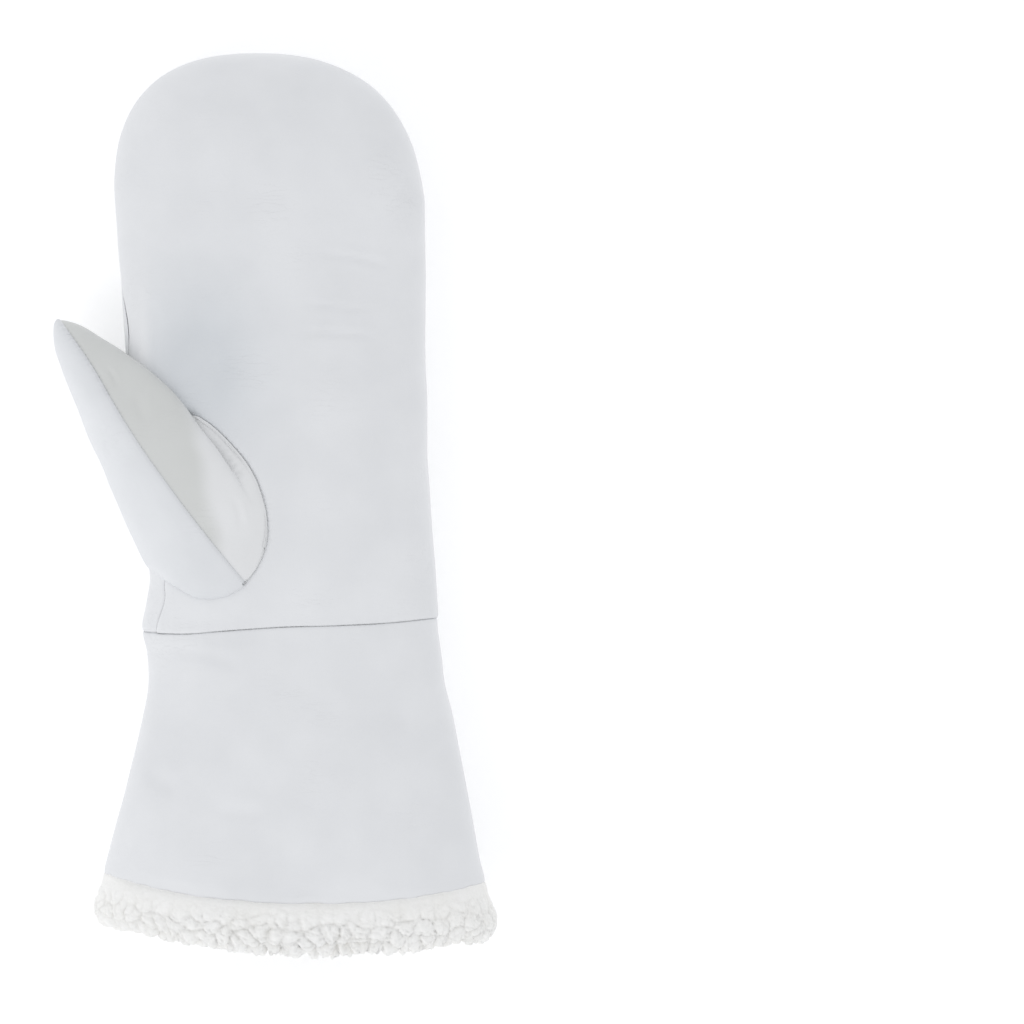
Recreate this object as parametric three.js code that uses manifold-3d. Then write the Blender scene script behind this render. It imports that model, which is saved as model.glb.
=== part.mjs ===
// A lined leather gauntlet mitten for the left hand, lying on its back with the palm up.
// Millimetres, +Z up. The fingertips point along +Y, the thumb side is at -X, and the origin is
// under the middle of the whole mitten, on the surface it lies on.
import * as THREE from "three";
import { mergeVertices } from "three/addons/utils/BufferGeometryUtils.js";
import Module from "manifold-3d";

const wasm = await Module();
wasm.setup();

// Sizes of the whole mitten
const TOTAL_LENGTH = 380.4;
const HAND_LENGTH = 242;
const PALM_HALF_WIDTH = 65;
const HAND_HEIGHT = 42;

// Leather, pile and the gaps between them
const LEATHER = 1.3;
const GAP = 0.3;
const THUMB_GAP = 0.6;
const HAND_PILE = 6;
const THUMB_PILE = 4;
const PILE_SHORT = 1.2;

// Tip of the hand: a rounded arch seen from above and a rounded edge seen from the side
const ARCH_LENGTH = 63;
const ARCH_POWER = 2.4;
const EDGE_LENGTH = 45;

// Round of a section: full over the palm, flatter under the back
const PALM_POWER = 2.3;
const BACK_POWER = 2.9;
const BACK_SINK = 0.9;

// Thumb, from the foot of its front seam to its tip
const THUMB_LENGTH = 135;
const THUMB_ANGLE = THREE.MathUtils.degToRad(35.5);
const THUMB_FOOT = [-13.7, -33.2];
const THUMB_POWER = 2;
const THUMB_LEAST = 0.3;

// Mouth of the cuff and the band of pile turned out over it
const MOUTH_LENGTH = 105.5;
const PALM_LIP = 10;
const BACK_LIP = 5;
const MOUTH_TILT = 2;
const BAND_HEIGHT = 22.4;
const BAND_PROUD = 4.6;
const TUFT_PITCH = 11;
const TUFT_DEPTH = 1.1;

const AROUND = 26;
const HOLLOW_AROUND = 18;
const THUMB_AROUND = 20;
const BAND_AROUND = 96;
const CLEAN = 0.02;

const TIP_Y = TOTAL_LENGTH / 2;
const SLAB_REACH = 2.2 * PALM_HALF_WIDTH;
const MOUTH_FROM_TIP = HAND_LENGTH + MOUTH_LENGTH;

// Outline of the flattened tube from the tip to the mouth.
// from_tip: share of HAND_LENGTH; half and centre: shares of PALM_HALF_WIDTH;
// height: share of HAND_HEIGHT; lift: how far the underside is off the surface, in mm
const OUTLINE = [
  { from_tip: 0, half: 1.0, centre: -0.13, height: 1.0, lift: 0 },
  { from_tip: 0.1, half: 1.0, centre: -0.1, height: 1.0, lift: 0 },
  { from_tip: 0.19, half: 1.0, centre: -0.068, height: 0.99, lift: 0 },
  { from_tip: 0.29, half: 1.0, centre: -0.045, height: 0.97, lift: 0 },
  { from_tip: 0.45, half: 0.98, centre: -0.025, height: 0.96, lift: 0 },
  { from_tip: 0.6, half: 0.968, centre: 0.0, height: 0.99, lift: 0 },
  { from_tip: 0.7, half: 0.968, centre: 0.01, height: 1.0, lift: 0 },
  { from_tip: 0.76, half: 0.974, centre: 0.02, height: 0.99, lift: 0 },
  { from_tip: 0.86, half: 0.95, centre: 0.065, height: 0.96, lift: 0 },
  { from_tip: 0.91, half: 0.93, centre: 0.097, height: 0.93, lift: 0 },
  { from_tip: 0.965, half: 0.945, centre: 0.095, height: 0.9, lift: 0 },
  { from_tip: 1.0, half: 0.945, centre: 0.09, height: 0.86, lift: 0.3 },
  { from_tip: 1.05, half: 0.945, centre: 0.119, height: 0.9, lift: 0.2 },
  { from_tip: 1.1, half: 0.965, centre: 0.132, height: 0.93, lift: 0.2 },
  { from_tip: 1.15, half: 1.004, centre: 0.133, height: 0.96, lift: 0.5 },
  { from_tip: 1.23, half: 1.065, centre: 0.129, height: 1.0, lift: 1.3 },
  { from_tip: 1.31, half: 1.129, centre: 0.123, height: 1.04, lift: 2.3 },
  { from_tip: 1.39, half: 1.198, centre: 0.113, height: 1.07, lift: 3.2 },
  { from_tip: 1.44, half: 1.238, centre: 0.115, height: 1.08, lift: 3.6 },
  { from_tip: 1.6, half: 1.238, centre: 0.115, height: 1.08, lift: 3.6 },
];

// Where the sections of the tube are taken: shares of HAND_LENGTH from the tip
const HAND_STATIONS = [
  0.003, 0.012, 0.028, 0.05, 0.08, 0.12, 0.165, 0.215, 0.29, 0.38, 0.48, 0.58, 0.68, 0.78,
  0.86, 0.92, 0.965, 1.0,
];
const CUFF_STATIONS = [0.1, 0.24, 0.42, 0.62, 0.82, 1.0];

// Height of the seam between palm and back, as shares of HAND_HEIGHT, on the two sides;
// from_tip: share of HAND_LENGTH
const SIDE_SEAM = [
  { from_tip: -0.164, thumb_side: 0.5, little_side: 0.44 },
  { from_tip: 0.166, thumb_side: 0.6, little_side: 0.42 },
  { from_tip: 0.435, thumb_side: 0.66, little_side: 0.42 },
  { from_tip: 0.530, thumb_side: 0.6, little_side: 0.42 },
  { from_tip: 0.588, thumb_side: 0.36, little_side: 0.42 },
  { from_tip: 0.662, thumb_side: 0.28, little_side: 0.42 },
  { from_tip: 0.827, thumb_side: 0.3, little_side: 0.42 },
  { from_tip: 0.885, thumb_side: 0.5, little_side: 0.42 },
  { from_tip: 0.926, thumb_side: 0.64, little_side: 0.42 },
  { from_tip: 1.075, thumb_side: 0.64, little_side: 0.42 },
];

// Wrist seam on the four corners of the wrist: how far it lies towards the fingertips from the
// place at HAND_LENGTH from the tip, as shares of HAND_LENGTH
const WRIST_SEAM = {
  palm_thumb: -0.0087,
  palm_little: 0.0132,
  back_thumb: 0,
  back_little: -0.0107,
};

// Sections of the thumb from the foot of its front seam to its tip. along, inner and outer: shares of
// THUMB_LENGTH, the last two being the half widths on the palm's side and on the outside; front,
// inner_height, outer_height and under: shares of HAND_HEIGHT. The foot sinks into the hand.
const THUMB_SECTIONS = [
  { along: -0.004, inner: 0.012, outer: 0.03, front: 0.933, in_h: 0.905, out_h: 0.88, under: 0.57 },
  { along: 0.015, inner: 0.07, outer: 0.096, front: 0.952, in_h: 0.917, out_h: 0.845, under: 0.52 },
  { along: 0.048, inner: 0.124, outer: 0.141, front: 0.983, in_h: 0.93, out_h: 0.82, under: 0.48 },
  { along: 0.111, inner: 0.181, outer: 0.18, front: 1.03, in_h: 0.95, out_h: 0.72, under: 0.42 },
  { along: 0.207, inner: 0.217, outer: 0.209, front: 1.107, in_h: 0.98, out_h: 0.52, under: 0.34 },
  { along: 0.34, inner: 0.207, outer: 0.191, front: 1.186, in_h: 1.0, out_h: 0.5, under: 0.27 },
  { along: 0.489, inner: 0.182, outer: 0.16, front: 1.19, in_h: 0.98, out_h: 0.5, under: 0.235 },
  { along: 0.607, inner: 0.163, outer: 0.135, front: 1.13, in_h: 0.92, out_h: 0.49, under: 0.225 },
  { along: 0.719, inner: 0.143, outer: 0.111, front: 1.024, in_h: 0.82, out_h: 0.48, under: 0.225 },
  { along: 0.815, inner: 0.11, outer: 0.087, front: 0.905, in_h: 0.71, out_h: 0.47, under: 0.25 },
  { along: 0.904, inner: 0.07, outer: 0.061, front: 0.76, in_h: 0.6, out_h: 0.465, under: 0.3 },
  { along: 0.963, inner: 0.039, outer: 0.036, front: 0.64, in_h: 0.53, out_h: 0.465, under: 0.36 },
  { along: 0.993, inner: 0.015, outer: 0.015, front: 0.543, in_h: 0.5, out_h: 0.47, under: 0.43 },
];

// Value of a column of a table at a place between its rows, along a smooth curve
function between(rows, key, column, place) {
  let i = 0;
  while (i < rows.length - 2 && place > rows[i + 1][key]) i += 1;
  const before = rows[Math.max(i - 1, 0)];
  const a = rows[i];
  const b = rows[i + 1];
  const after = rows[Math.min(i + 2, rows.length - 1)];
  const span = b[key] - a[key];
  const t = THREE.MathUtils.clamp((place - a[key]) / span, 0, 1);
  const slopeA = before === a ? 0 : (b[column] - before[column]) / (b[key] - before[key]);
  const slopeB = after === b ? 0 : (after[column] - a[column]) / (after[key] - a[key]);
  const t2 = t * t;
  const t3 = t2 * t;
  return (
    (2 * t3 - 3 * t2 + 1) * a[column] +
    (t3 - 2 * t2 + t) * span * slopeA +
    (3 * t2 - 2 * t3) * b[column] +
    (t3 - t2) * span * slopeB
  );
}

// How full a rounded end is at a distance from its tip: 0 at the tip, 1 from length on
function roundedEnd(distance, length, power) {
  const left = Math.max(1 - distance / length, 0);
  return Math.pow(Math.max(1 - Math.pow(left, power), 0), 1 / power);
}

// Point of a superellipse quarter, with its sign, for a direction given by cosine or sine
function rounded(direction, power) {
  return Math.sign(direction) * Math.pow(Math.abs(direction), 2 / power);
}

// The flattened tube, shrunk by an inset on all sides, at a distance from the tip of the hand
function tubeSection(distance, inset) {
  const share = distance / HAND_LENGTH;
  const half = between(OUTLINE, "from_tip", "half", share) * PALM_HALF_WIDTH;
  const halfHeight = (between(OUTLINE, "from_tip", "height", share) * HAND_HEIGHT) / 2;
  const lift = between(OUTLINE, "from_tip", "lift", share);
  const arch = roundedEnd(distance - inset, ARCH_LENGTH - inset, ARCH_POWER);
  const edge = roundedEnd(distance - inset, EDGE_LENGTH - inset, 2);
  const toTip = Math.max(1 - distance / ARCH_LENGTH, 0);
  return {
    centre: between(OUTLINE, "from_tip", "centre", share) * PALM_HALF_WIDTH,
    half: (half - inset) * arch,
    middle: lift + halfHeight * (1 - 0.14 * toTip * toTip),
    up: (halfHeight - inset) * edge,
    down: (halfHeight + BACK_SINK - inset) * edge,
    floor: inset,
  };
}

// How far the mouth's edge droops at an angle of the section
function mouthDroop(angle) {
  const up = Math.sin(angle);
  const lip = up > 0 ? PALM_LIP : BACK_LIP;
  return lip * up * up + MOUTH_TILT * Math.cos(angle);
}

// Point of the tube's surface at an angle: 0 on the little finger's side, a quarter turn over the palm
function tubePoint(distance, angle, inset) {
  const s = tubeSection(distance, inset);
  const up = Math.sin(angle) > 0;
  const power = up ? PALM_POWER : BACK_POWER;
  const x = s.centre + s.half * rounded(Math.cos(angle), power);
  const z = s.middle + (up ? s.up : s.down) * rounded(Math.sin(angle), power);
  const intoCuff = Math.max((distance - HAND_LENGTH) / MOUTH_LENGTH, 0);
  const y = TIP_Y - distance - mouthDroop(angle) * intoCuff * intoCuff;
  return new THREE.Vector3(x, y, Math.max(z, s.floor));
}

function manifoldOf(geometry) {
  const merged = mergeVertices(geometry, 1e-4);
  return new wasm.Manifold(
    new wasm.Mesh({
      numProp: 3,
      vertProperties: new Float32Array(merged.attributes.position.array),
      triVerts: new Uint32Array(merged.index.array),
    }),
  );
}

// The solid that a closed surface encloses. A surface that faces inwards is turned round.
function solidOf(points, faces) {
  const geometry = new THREE.BufferGeometry().setFromPoints(points);
  geometry.setIndex(faces);
  const solid = manifoldOf(geometry);
  if (solid.volume() > 0) return solid;
  for (let i = 0; i < faces.length; i += 3) {
    const kept = faces[i];
    faces[i] = faces[i + 1];
    faces[i + 1] = kept;
  }
  geometry.setIndex(faces);
  return manifoldOf(geometry);
}

// Closed solid through rings of points, with both ends filled by a fan
function solidThroughRings(rings) {
  const count = rings[0].length;
  const points = rings.flat();
  const faces = [];
  for (let r = 0; r < rings.length - 1; r += 1) {
    for (let i = 0; i < count; i += 1) {
      const next = (i + 1) % count;
      const a = r * count + i;
      const b = r * count + next;
      const c = a + count;
      const d = b + count;
      faces.push(a, b, d, a, d, c);
    }
  }
  const capEnd = (ring, start, turned) => {
    const middle = new THREE.Vector3();
    ring.forEach((p) => middle.add(p));
    points.push(middle.divideScalar(count));
    for (let i = 0; i < count; i += 1) {
      const a = start + i;
      const b = start + ((i + 1) % count);
      faces.push(points.length - 1, turned ? a : b, turned ? b : a);
    }
  };
  capEnd(rings[0], 0, false);
  capEnd(rings[rings.length - 1], (rings.length - 1) * count, true);
  return solidOf(points, faces);
}

// The tube as a solid, shrunk by an inset. It ends at the mouth, short of it or, to open it, past it.
// The pile is taken at every second station of the hand.
function tubeForm(inset, pastMouth, around = AROUND, everyStation = 1) {
  const rings = [];
  const ringAt = (distance) => {
    const ring = [];
    for (let i = 0; i < around; i += 1) {
      ring.push(tubePoint(distance, (i / around) * 2 * Math.PI, inset));
    }
    return ring;
  };
  const firstInset = Math.max(inset, 0);
  const stations = HAND_STATIONS.filter((_, i) => (i + 1) % everyStation === 0);
  stations.forEach((share) => {
    rings.push(ringAt(firstInset * Math.max(1 - share / 0.3, 0) + share * HAND_LENGTH));
  });
  CUFF_STATIONS.forEach((share) => {
    rings.push(ringAt(HAND_LENGTH + share * (MOUTH_LENGTH + Math.min(pastMouth, 0))));
  });
  if (pastMouth > 0) {
    rings.push(ringAt(MOUTH_FROM_TIP + pastMouth));
  }
  return solidThroughRings(rings);
}

// A place in the thumb's own directions, in the mitten's frame: along it, across it and up
function thumbPlace(along, across, height) {
  return new THREE.Vector3(
    THUMB_FOOT[0] - along * Math.sin(THUMB_ANGLE) + across * Math.cos(THUMB_ANGLE),
    THUMB_FOOT[1] + along * Math.cos(THUMB_ANGLE) + across * Math.sin(THUMB_ANGLE),
    height,
  );
}

// The thumb as a solid from its foot in the hand to its tip, shrunk by an inset on all sides
function thumbForm(inset, around = THUMB_AROUND) {
  const shorter = 1 - (2 * inset) / THUMB_LENGTH;
  const rings = THUMB_SECTIONS.map((row) => {
    const along = (0.5 + (row.along - 0.5) * shorter) * THUMB_LENGTH;
    const inner = Math.max(row.inner * THUMB_LENGTH - inset, THUMB_LEAST);
    const outer = Math.max(row.outer * THUMB_LENGTH - inset, THUMB_LEAST);
    const front = row.front * HAND_HEIGHT - inset;
    const under = row.under * HAND_HEIGHT + inset;
    const ring = [];
    for (let i = 0; i < around; i += 1) {
      const angle = (i / around) * 2 * Math.PI;
      const toInner = Math.sin(angle) > 0;
      const wanted = (toInner ? row.in_h : row.out_h) * HAND_HEIGHT;
      const level = Math.min(Math.max(wanted, under + THUMB_LEAST), front - THUMB_LEAST);
      const across = rounded(Math.sin(angle), THUMB_POWER) * (toInner ? inner : outer);
      const rise = rounded(Math.cos(angle), THUMB_POWER);
      const height = level + rise * (rise > 0 ? front - level : level - under);
      ring.push(thumbPlace(along, across, height));
    }
    return ring;
  });
  return solidThroughRings(rings);
}

// Slab over the side seam, its underside following the seam's height on both sides
function overSideSeam(shift) {
  const columns = [
    { x: -SLAB_REACH, column: "thumb_side" },
    { x: -PALM_HALF_WIDTH, column: "thumb_side" },
    { x: PALM_HALF_WIDTH, column: "little_side" },
    { x: SLAB_REACH, column: "little_side" },
  ];
  const rings = SIDE_SEAM.map((row) => {
    const y = TIP_Y - row.from_tip * HAND_LENGTH;
    const low = columns.map(
      (c) => new THREE.Vector3(c.x, y, row[c.column] * HAND_HEIGHT + shift),
    );
    const top = new THREE.Vector3(SLAB_REACH, y, 3 * HAND_HEIGHT);
    return [...low, top, new THREE.Vector3(-SLAB_REACH, y, 3 * HAND_HEIGHT)];
  });
  return solidThroughRings(rings);
}

// Slab beyond the wrist seam towards the fingertips
function beyondWrist(shift) {
  const side = SLAB_REACH;
  const w = WRIST_SEAM;
  const seamY = (thumb, little, x) => {
    const share = (x + PALM_HALF_WIDTH) / (2 * PALM_HALF_WIDTH);
    return TIP_Y - HAND_LENGTH + (thumb + (little - thumb) * share) * HAND_LENGTH + shift;
  };
  const near = [
    new THREE.Vector3(-side, seamY(w.back_thumb, w.back_little, -side), -0.25 * HAND_HEIGHT),
    new THREE.Vector3(side, seamY(w.back_thumb, w.back_little, side), -0.25 * HAND_HEIGHT),
    new THREE.Vector3(side, seamY(w.palm_thumb, w.palm_little, side), 1.5 * HAND_HEIGHT),
    new THREE.Vector3(-side, seamY(w.palm_thumb, w.palm_little, -side), 1.5 * HAND_HEIGHT),
  ];
  const far = near.map((p) => new THREE.Vector3(p.x, TIP_Y + HAND_HEIGHT, p.z));
  return solidThroughRings([near, far]);
}

// The largest body of a cut piece; what else the cut leaves is thinner than the gap
function largestOf(solid) {
  return solid.decompose().sort((a, b) => b.volume() - a.volume())[0];
}

// Section of the rolled band: along the mouth's axis from the leather's edge, and out from its
// surface. Shares of BAND_HEIGHT along, and of BAND_PROUD out; tuft: how much of the lumps shows.
const BAND_SECTION = [
  { along: 0.016, out: -0.25, tuft: 0 },
  { along: 0.03, out: 0.42, tuft: 0.2 },
  { along: 0.17, out: 0.86, tuft: 0.7 },
  { along: 0.36, out: 1.0, tuft: 1 },
  { along: 0.56, out: 1.0, tuft: 1 },
  { along: 0.75, out: 0.82, tuft: 1 },
  { along: 0.9, out: 0.35, tuft: 1 },
  { along: 0.985, out: -0.55, tuft: 1 },
  { along: 0.95, out: -1.25, tuft: 0.6 },
  { along: 0.74, out: -1.66, tuft: 0.3 },
  { along: 0.4, out: -1.72, tuft: 0.3 },
  { along: 0.016, out: -1.66, tuft: 0 },
];

// Tufted ring of pile round the mouth
function bandForm() {
  const rings = [];
  const girth = 2 * (2 * 1.24 * PALM_HALF_WIDTH + HAND_HEIGHT);
  const tufts = Math.round(girth / TUFT_PITCH);
  for (let i = 0; i < BAND_AROUND; i += 1) {
    const turn = i / BAND_AROUND;
    const angle = turn * 2 * Math.PI;
    const edge = tubePoint(MOUTH_FROM_TIP, angle, 0);
    const ring = BAND_SECTION.map((row, k) => {
      const lump = Math.sin(turn * tufts * 2 * Math.PI + (k % 2) * Math.PI);
      const swell = lump * TUFT_DEPTH * row.tuft;
      const out = row.out * BAND_PROUD + swell;
      const point = tubePoint(MOUTH_FROM_TIP, angle, -out);
      point.y = edge.y - row.along * BAND_HEIGHT - (k > 5 && k < 9 ? swell * 0.6 : 0);
      point.z = Math.max(point.z, 0);
      return point;
    });
    rings.push(ring);
  }
  return rings;
}

// Closed ring of rings: the last joins the first, so there are no ends
function solidRoundRings(rings) {
  const count = rings[0].length;
  const faces = [];
  rings.forEach((ring, r) => {
    const after = ((r + 1) % rings.length) * count;
    for (let i = 0; i < count; i += 1) {
      const next = (i + 1) % count;
      faces.push(r * count + i, r * count + next, after + next);
      faces.push(r * count + i, after + next, after + i);
    }
  });
  return solidOf(rings.flat(), faces);
}

// Leather skin of hand and cuff, and of the thumb
const tubeOutside = tubeForm(0, 0);
const tubeInside = tubeForm(LEATHER, 8);
const tubeSkin = tubeOutside.subtract(tubeInside);
const thumbOutside = thumbForm(0);
const thumbInside = thumbForm(LEATHER);

const handSkin = tubeSkin.intersect(beyondWrist(GAP / 2));
const cuffSkin = tubeSkin.subtract(beyondWrist(-GAP / 2));
const palmSkin = handSkin.intersect(overSideSeam(GAP / 2)).subtract(thumbForm(-THUMB_GAP));
const backSkin = handSkin.subtract(overSideSeam(-GAP / 2));

// The thumb's skin ends at the palm's inner face and at the edge of the back panel
const backWithGap = tubeForm(-GAP, 0).subtract(overSideSeam(GAP / 2));
const thumbSkin = thumbOutside
  .subtract(thumbInside)
  .subtract(tubeInside)
  .subtract(backWithGap);

// Slab through the thumb's front and back seams, which parts its outer panel from its inner one
const reachPast = 1.4 * THUMB_LENGTH;
const seamSlab = new THREE.BoxGeometry(GAP, 2 * reachPast, 4 * HAND_HEIGHT);
seamSlab.deleteAttribute("normal");
seamSlab.deleteAttribute("uv");
seamSlab.rotateZ(THUMB_ANGLE);
seamSlab.translate(...THUMB_FOOT, 0);
const thumbHalves = thumbSkin
  .subtract(manifoldOf(seamSlab))
  .decompose()
  .sort((a, b) => b.volume() - a.volume())
  .slice(0, 2);
const middleX = (solid) => {
  const box = solid.boundingBox();
  return (box.min[0] + box.max[0]) / 2;
};
const [thumbOuter, thumbInner] = thumbHalves.sort((a, b) => middleX(a) - middleX(b));

// Pile inside the leather, cut as the leather over it: palm, back, cuff and thumb. The thumb's pile
// ends at the inner face of the palm's, where the thumb opens into the hand.
const handHollow = tubeForm(LEATHER + GAP + HAND_PILE, 8, HOLLOW_AROUND, 2);
const tubePile = tubeForm(LEATHER + 2 * GAP, -PILE_SHORT, AROUND, 2).subtract(handHollow);
const handPile = tubePile
  .intersect(beyondWrist(GAP / 2))
  .subtract(thumbForm(LEATHER + GAP / 2));
const palmPile = handPile.intersect(overSideSeam(GAP / 2));
const backPile = handPile.subtract(overSideSeam(-GAP / 2));
const cuffPile = tubePile.subtract(beyondWrist(-GAP / 2));
const backSkinZone = backWithGap.subtract(tubeForm(LEATHER + GAP, 8));
const thumbPile = thumbForm(LEATHER + THUMB_GAP)
  .subtract(thumbForm(LEATHER + GAP + THUMB_PILE, HOLLOW_AROUND - 2))
  .subtract(handHollow)
  .subtract(backSkinZone);

const pieces = [
  { name: "palm_panel", solid: largestOf(palmSkin), colour: "#dcdde0", rough: 0.5 },
  { name: "back_panel", solid: largestOf(backSkin), colour: "#dcdde0", rough: 0.5 },
  { name: "thumb_outer_panel", solid: thumbOuter, colour: "#e1e2e5", rough: 0.5 },
  { name: "thumb_inner_panel", solid: thumbInner, colour: "#dadbdd", rough: 0.5 },
  { name: "cuff", solid: largestOf(cuffSkin), colour: "#dedfe1", rough: 0.5 },
  { name: "palm_lining", solid: largestOf(palmPile), colour: "#e8e6e1", rough: 0.95 },
  { name: "back_lining", solid: largestOf(backPile), colour: "#e8e6e1", rough: 0.95 },
  { name: "cuff_lining", solid: largestOf(cuffPile), colour: "#e8e6e1", rough: 0.95 },
  { name: "thumb_lining", solid: largestOf(thumbPile), colour: "#e8e6e1", rough: 0.95 },
  { name: "pile_band", solid: solidRoundRings(bandForm()), colour: "#e7e7e6", rough: 0.95 },
];

const mitten = new THREE.Group();
mitten.name = "fur_mitten";
for (const { name, solid, colour, rough } of pieces) {
  const made = solid.simplify(CLEAN).getMesh();
  const geometry = new THREE.BufferGeometry();
  geometry.setAttribute("position", new THREE.BufferAttribute(made.vertProperties, 3));
  geometry.setIndex(new THREE.BufferAttribute(made.triVerts, 1));
  geometry.computeVertexNormals();
  const material = new THREE.MeshStandardMaterial({
    color: colour,
    roughness: rough,
    metalness: 0,
  });
  const mesh = new THREE.Mesh(geometry, material);
  mesh.name = name;
  mitten.add(mesh);
}

// The origin is under the middle of the mitten's overall box
const overall = new THREE.Box3().setFromObject(mitten, true);
const centre = overall.getCenter(new THREE.Vector3());
mitten.position.set(-centre.x, -centre.y, -overall.min.z);

export default mitten;
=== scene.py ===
# %% [markdown]
# # A fur mitten
# This lesson builds one long winter mitten for the left hand: smooth white leather outside, sheepskin
# pile inside, and the pile turned out as a band round the mouth of the cuff. It lies on its back with
# the palm up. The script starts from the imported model, which fixes the place and size of every part.

import bmesh
import bpy
import numpy as np
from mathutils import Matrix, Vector


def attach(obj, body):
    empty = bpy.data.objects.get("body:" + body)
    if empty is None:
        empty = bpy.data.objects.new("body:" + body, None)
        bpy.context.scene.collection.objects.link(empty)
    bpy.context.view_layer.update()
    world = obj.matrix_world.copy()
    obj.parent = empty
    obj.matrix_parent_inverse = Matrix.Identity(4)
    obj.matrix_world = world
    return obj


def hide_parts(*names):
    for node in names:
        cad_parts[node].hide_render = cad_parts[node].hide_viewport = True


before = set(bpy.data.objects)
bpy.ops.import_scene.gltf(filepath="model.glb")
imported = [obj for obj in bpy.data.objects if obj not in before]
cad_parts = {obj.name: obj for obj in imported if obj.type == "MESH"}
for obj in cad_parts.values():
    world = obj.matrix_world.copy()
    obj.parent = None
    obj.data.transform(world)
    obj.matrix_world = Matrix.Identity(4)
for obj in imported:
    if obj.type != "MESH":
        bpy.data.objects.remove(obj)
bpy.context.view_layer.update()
print("frame nodes:", sorted(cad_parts))

# %% [markdown]
# ## Sizes
# A pattern cutter works from a short list of sizes, and so does this script. All of them are in
# millimetres, and a piece is turned into metres only when its mesh is made. +Y points to the
# fingertips, the thumb is at -X, and the mitten lies on z = 0. SHIFT puts the pattern's own origin
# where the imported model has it, and points of a piece that lie closer together than CLOSE become one.

# %% Sizes of the pattern
MM = 0.001
SHIFT = np.array([0.05, 0.2, 0.0])

TOTAL_LENGTH = 380.4
HAND_LENGTH = 242.0
MOUTH_LENGTH = 105.5
PALM_HALF_WIDTH = 65.0
HAND_HEIGHT = 42.0
TIP_Y = TOTAL_LENGTH / 2
MOUTH_FROM_TIP = HAND_LENGTH + MOUTH_LENGTH

LEATHER = 1.2
ARCH_LENGTH, ARCH_POWER = 63.0, 2.4
EDGE_LENGTH = 45.0
PALM_POWER, BACK_POWER = 2.3, 2.9
BACK_SINK = 0.9
PALM_LIP, BACK_LIP, MOUTH_TILT = 10.0, 5.0, 2.0

THUMB_ANGLE = np.radians(35.5)
THUMB_FOOT = np.array([-13.7, -33.2])

SEAM_DEPTH = 0.6
SEAM_WIDTH = 1.15
STITCH_PITCH = 2.2
CLOSE = 0.004
print("length of the mitten, mm:", TOTAL_LENGTH)

# %% [markdown]
# ## Reading a table along a smooth curve
# The outline of a mitten is easiest to keep as a short table: one row for each place along it, one
# named column for each thing that changes. Between the rows a cubic curve runs through the values, so
# that the leather has no kinks where a row ends.


# %% A smooth curve through a table
class Table:
    """Rows of numbers with named columns; the first column is the place along the piece."""

    def __init__(self, columns, rows):
        self.columns = columns.split()
        self.rows = np.array(rows, dtype=float)

    def read(self, column, place):
        """Value of a column at any place: a cubic between two rows, whose slope at a row is the slope
        between the row before and the row after."""
        key = self.rows[:, 0]
        value = self.rows[:, self.columns.index(column)]
        slope = np.zeros_like(value)
        slope[1:-1] = (value[2:] - value[:-2]) / (key[2:] - key[:-2])
        place = np.asarray(place, dtype=float)
        i = np.clip(np.searchsorted(key, place, side="right") - 1, 0, len(key) - 2)
        span = key[i + 1] - key[i]
        t = np.clip((place - key[i]) / span, 0, 1)
        t2, t3 = t * t, t * t * t
        return (
            (2 * t3 - 3 * t2 + 1) * value[i]
            + (t3 - 2 * t2 + t) * span * slope[i]
            + (3 * t2 - 2 * t3) * value[i + 1]
            + (t3 - t2) * span * slope[i + 1]
        )


def ease(value, start, end):
    """0 before start, 1 after end, and an S-shaped step between them."""
    t = np.clip((value - start) / (end - start), 0, 1)
    return t * t * (3 - 2 * t)


# %% [markdown]
# ## The flattened tube
# Hand and cuff are one flattened tube of leather. Seen from above its width follows the outline of the
# photograph; seen from its end it is a superellipse, full over the palm and flatter under the back.
# At the tip it closes in an arch. One function gives any point of that tube, and every panel is a patch
# of it, which is how a pattern cutter would cut the panels too.

# %% The outline of hand and cuff
OUTLINE = Table(
    "from_tip half centre height lift",
    [
        (0.0, 1.0, -0.13, 1.0, 0),
        (0.1, 1.0, -0.1, 1.0, 0),
        (0.19, 1.0, -0.068, 0.99, 0),
        (0.29, 1.0, -0.045, 0.97, 0),
        (0.45, 0.98, -0.025, 0.96, 0),
        (0.6, 0.968, 0.0, 0.99, 0),
        (0.7, 0.968, 0.01, 1.0, 0),
        (0.76, 0.974, 0.02, 0.99, 0),
        (0.86, 0.95, 0.065, 0.96, 0),
        (0.91, 0.93, 0.097, 0.93, 0),
        (0.965, 0.95, 0.092, 0.9, 0),
        (1.0, 0.96, 0.08, 0.87, 0.3),
        (1.05, 0.955, 0.105, 0.9, 0.2),
        (1.1, 0.966, 0.122, 0.93, 0.2),
        (1.15, 1.004, 0.133, 0.96, 0.5),
        (1.23, 1.065, 0.129, 1.0, 1.3),
        (1.31, 1.129, 0.123, 1.04, 2.3),
        (1.39, 1.198, 0.113, 1.07, 3.2),
        (1.44, 1.238, 0.115, 1.08, 3.6),
        (1.6, 1.238, 0.115, 1.08, 3.6),
    ],
)


def rounded_end(distance, length, power):
    """0 at the tip and 1 from length on, along a superellipse: (1 - (1 - distance/length)^p)^(1/p)."""
    left = np.clip(1 - distance / length, 0, None)
    return np.clip(1 - left**power, 0, None) ** (1 / power)


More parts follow.
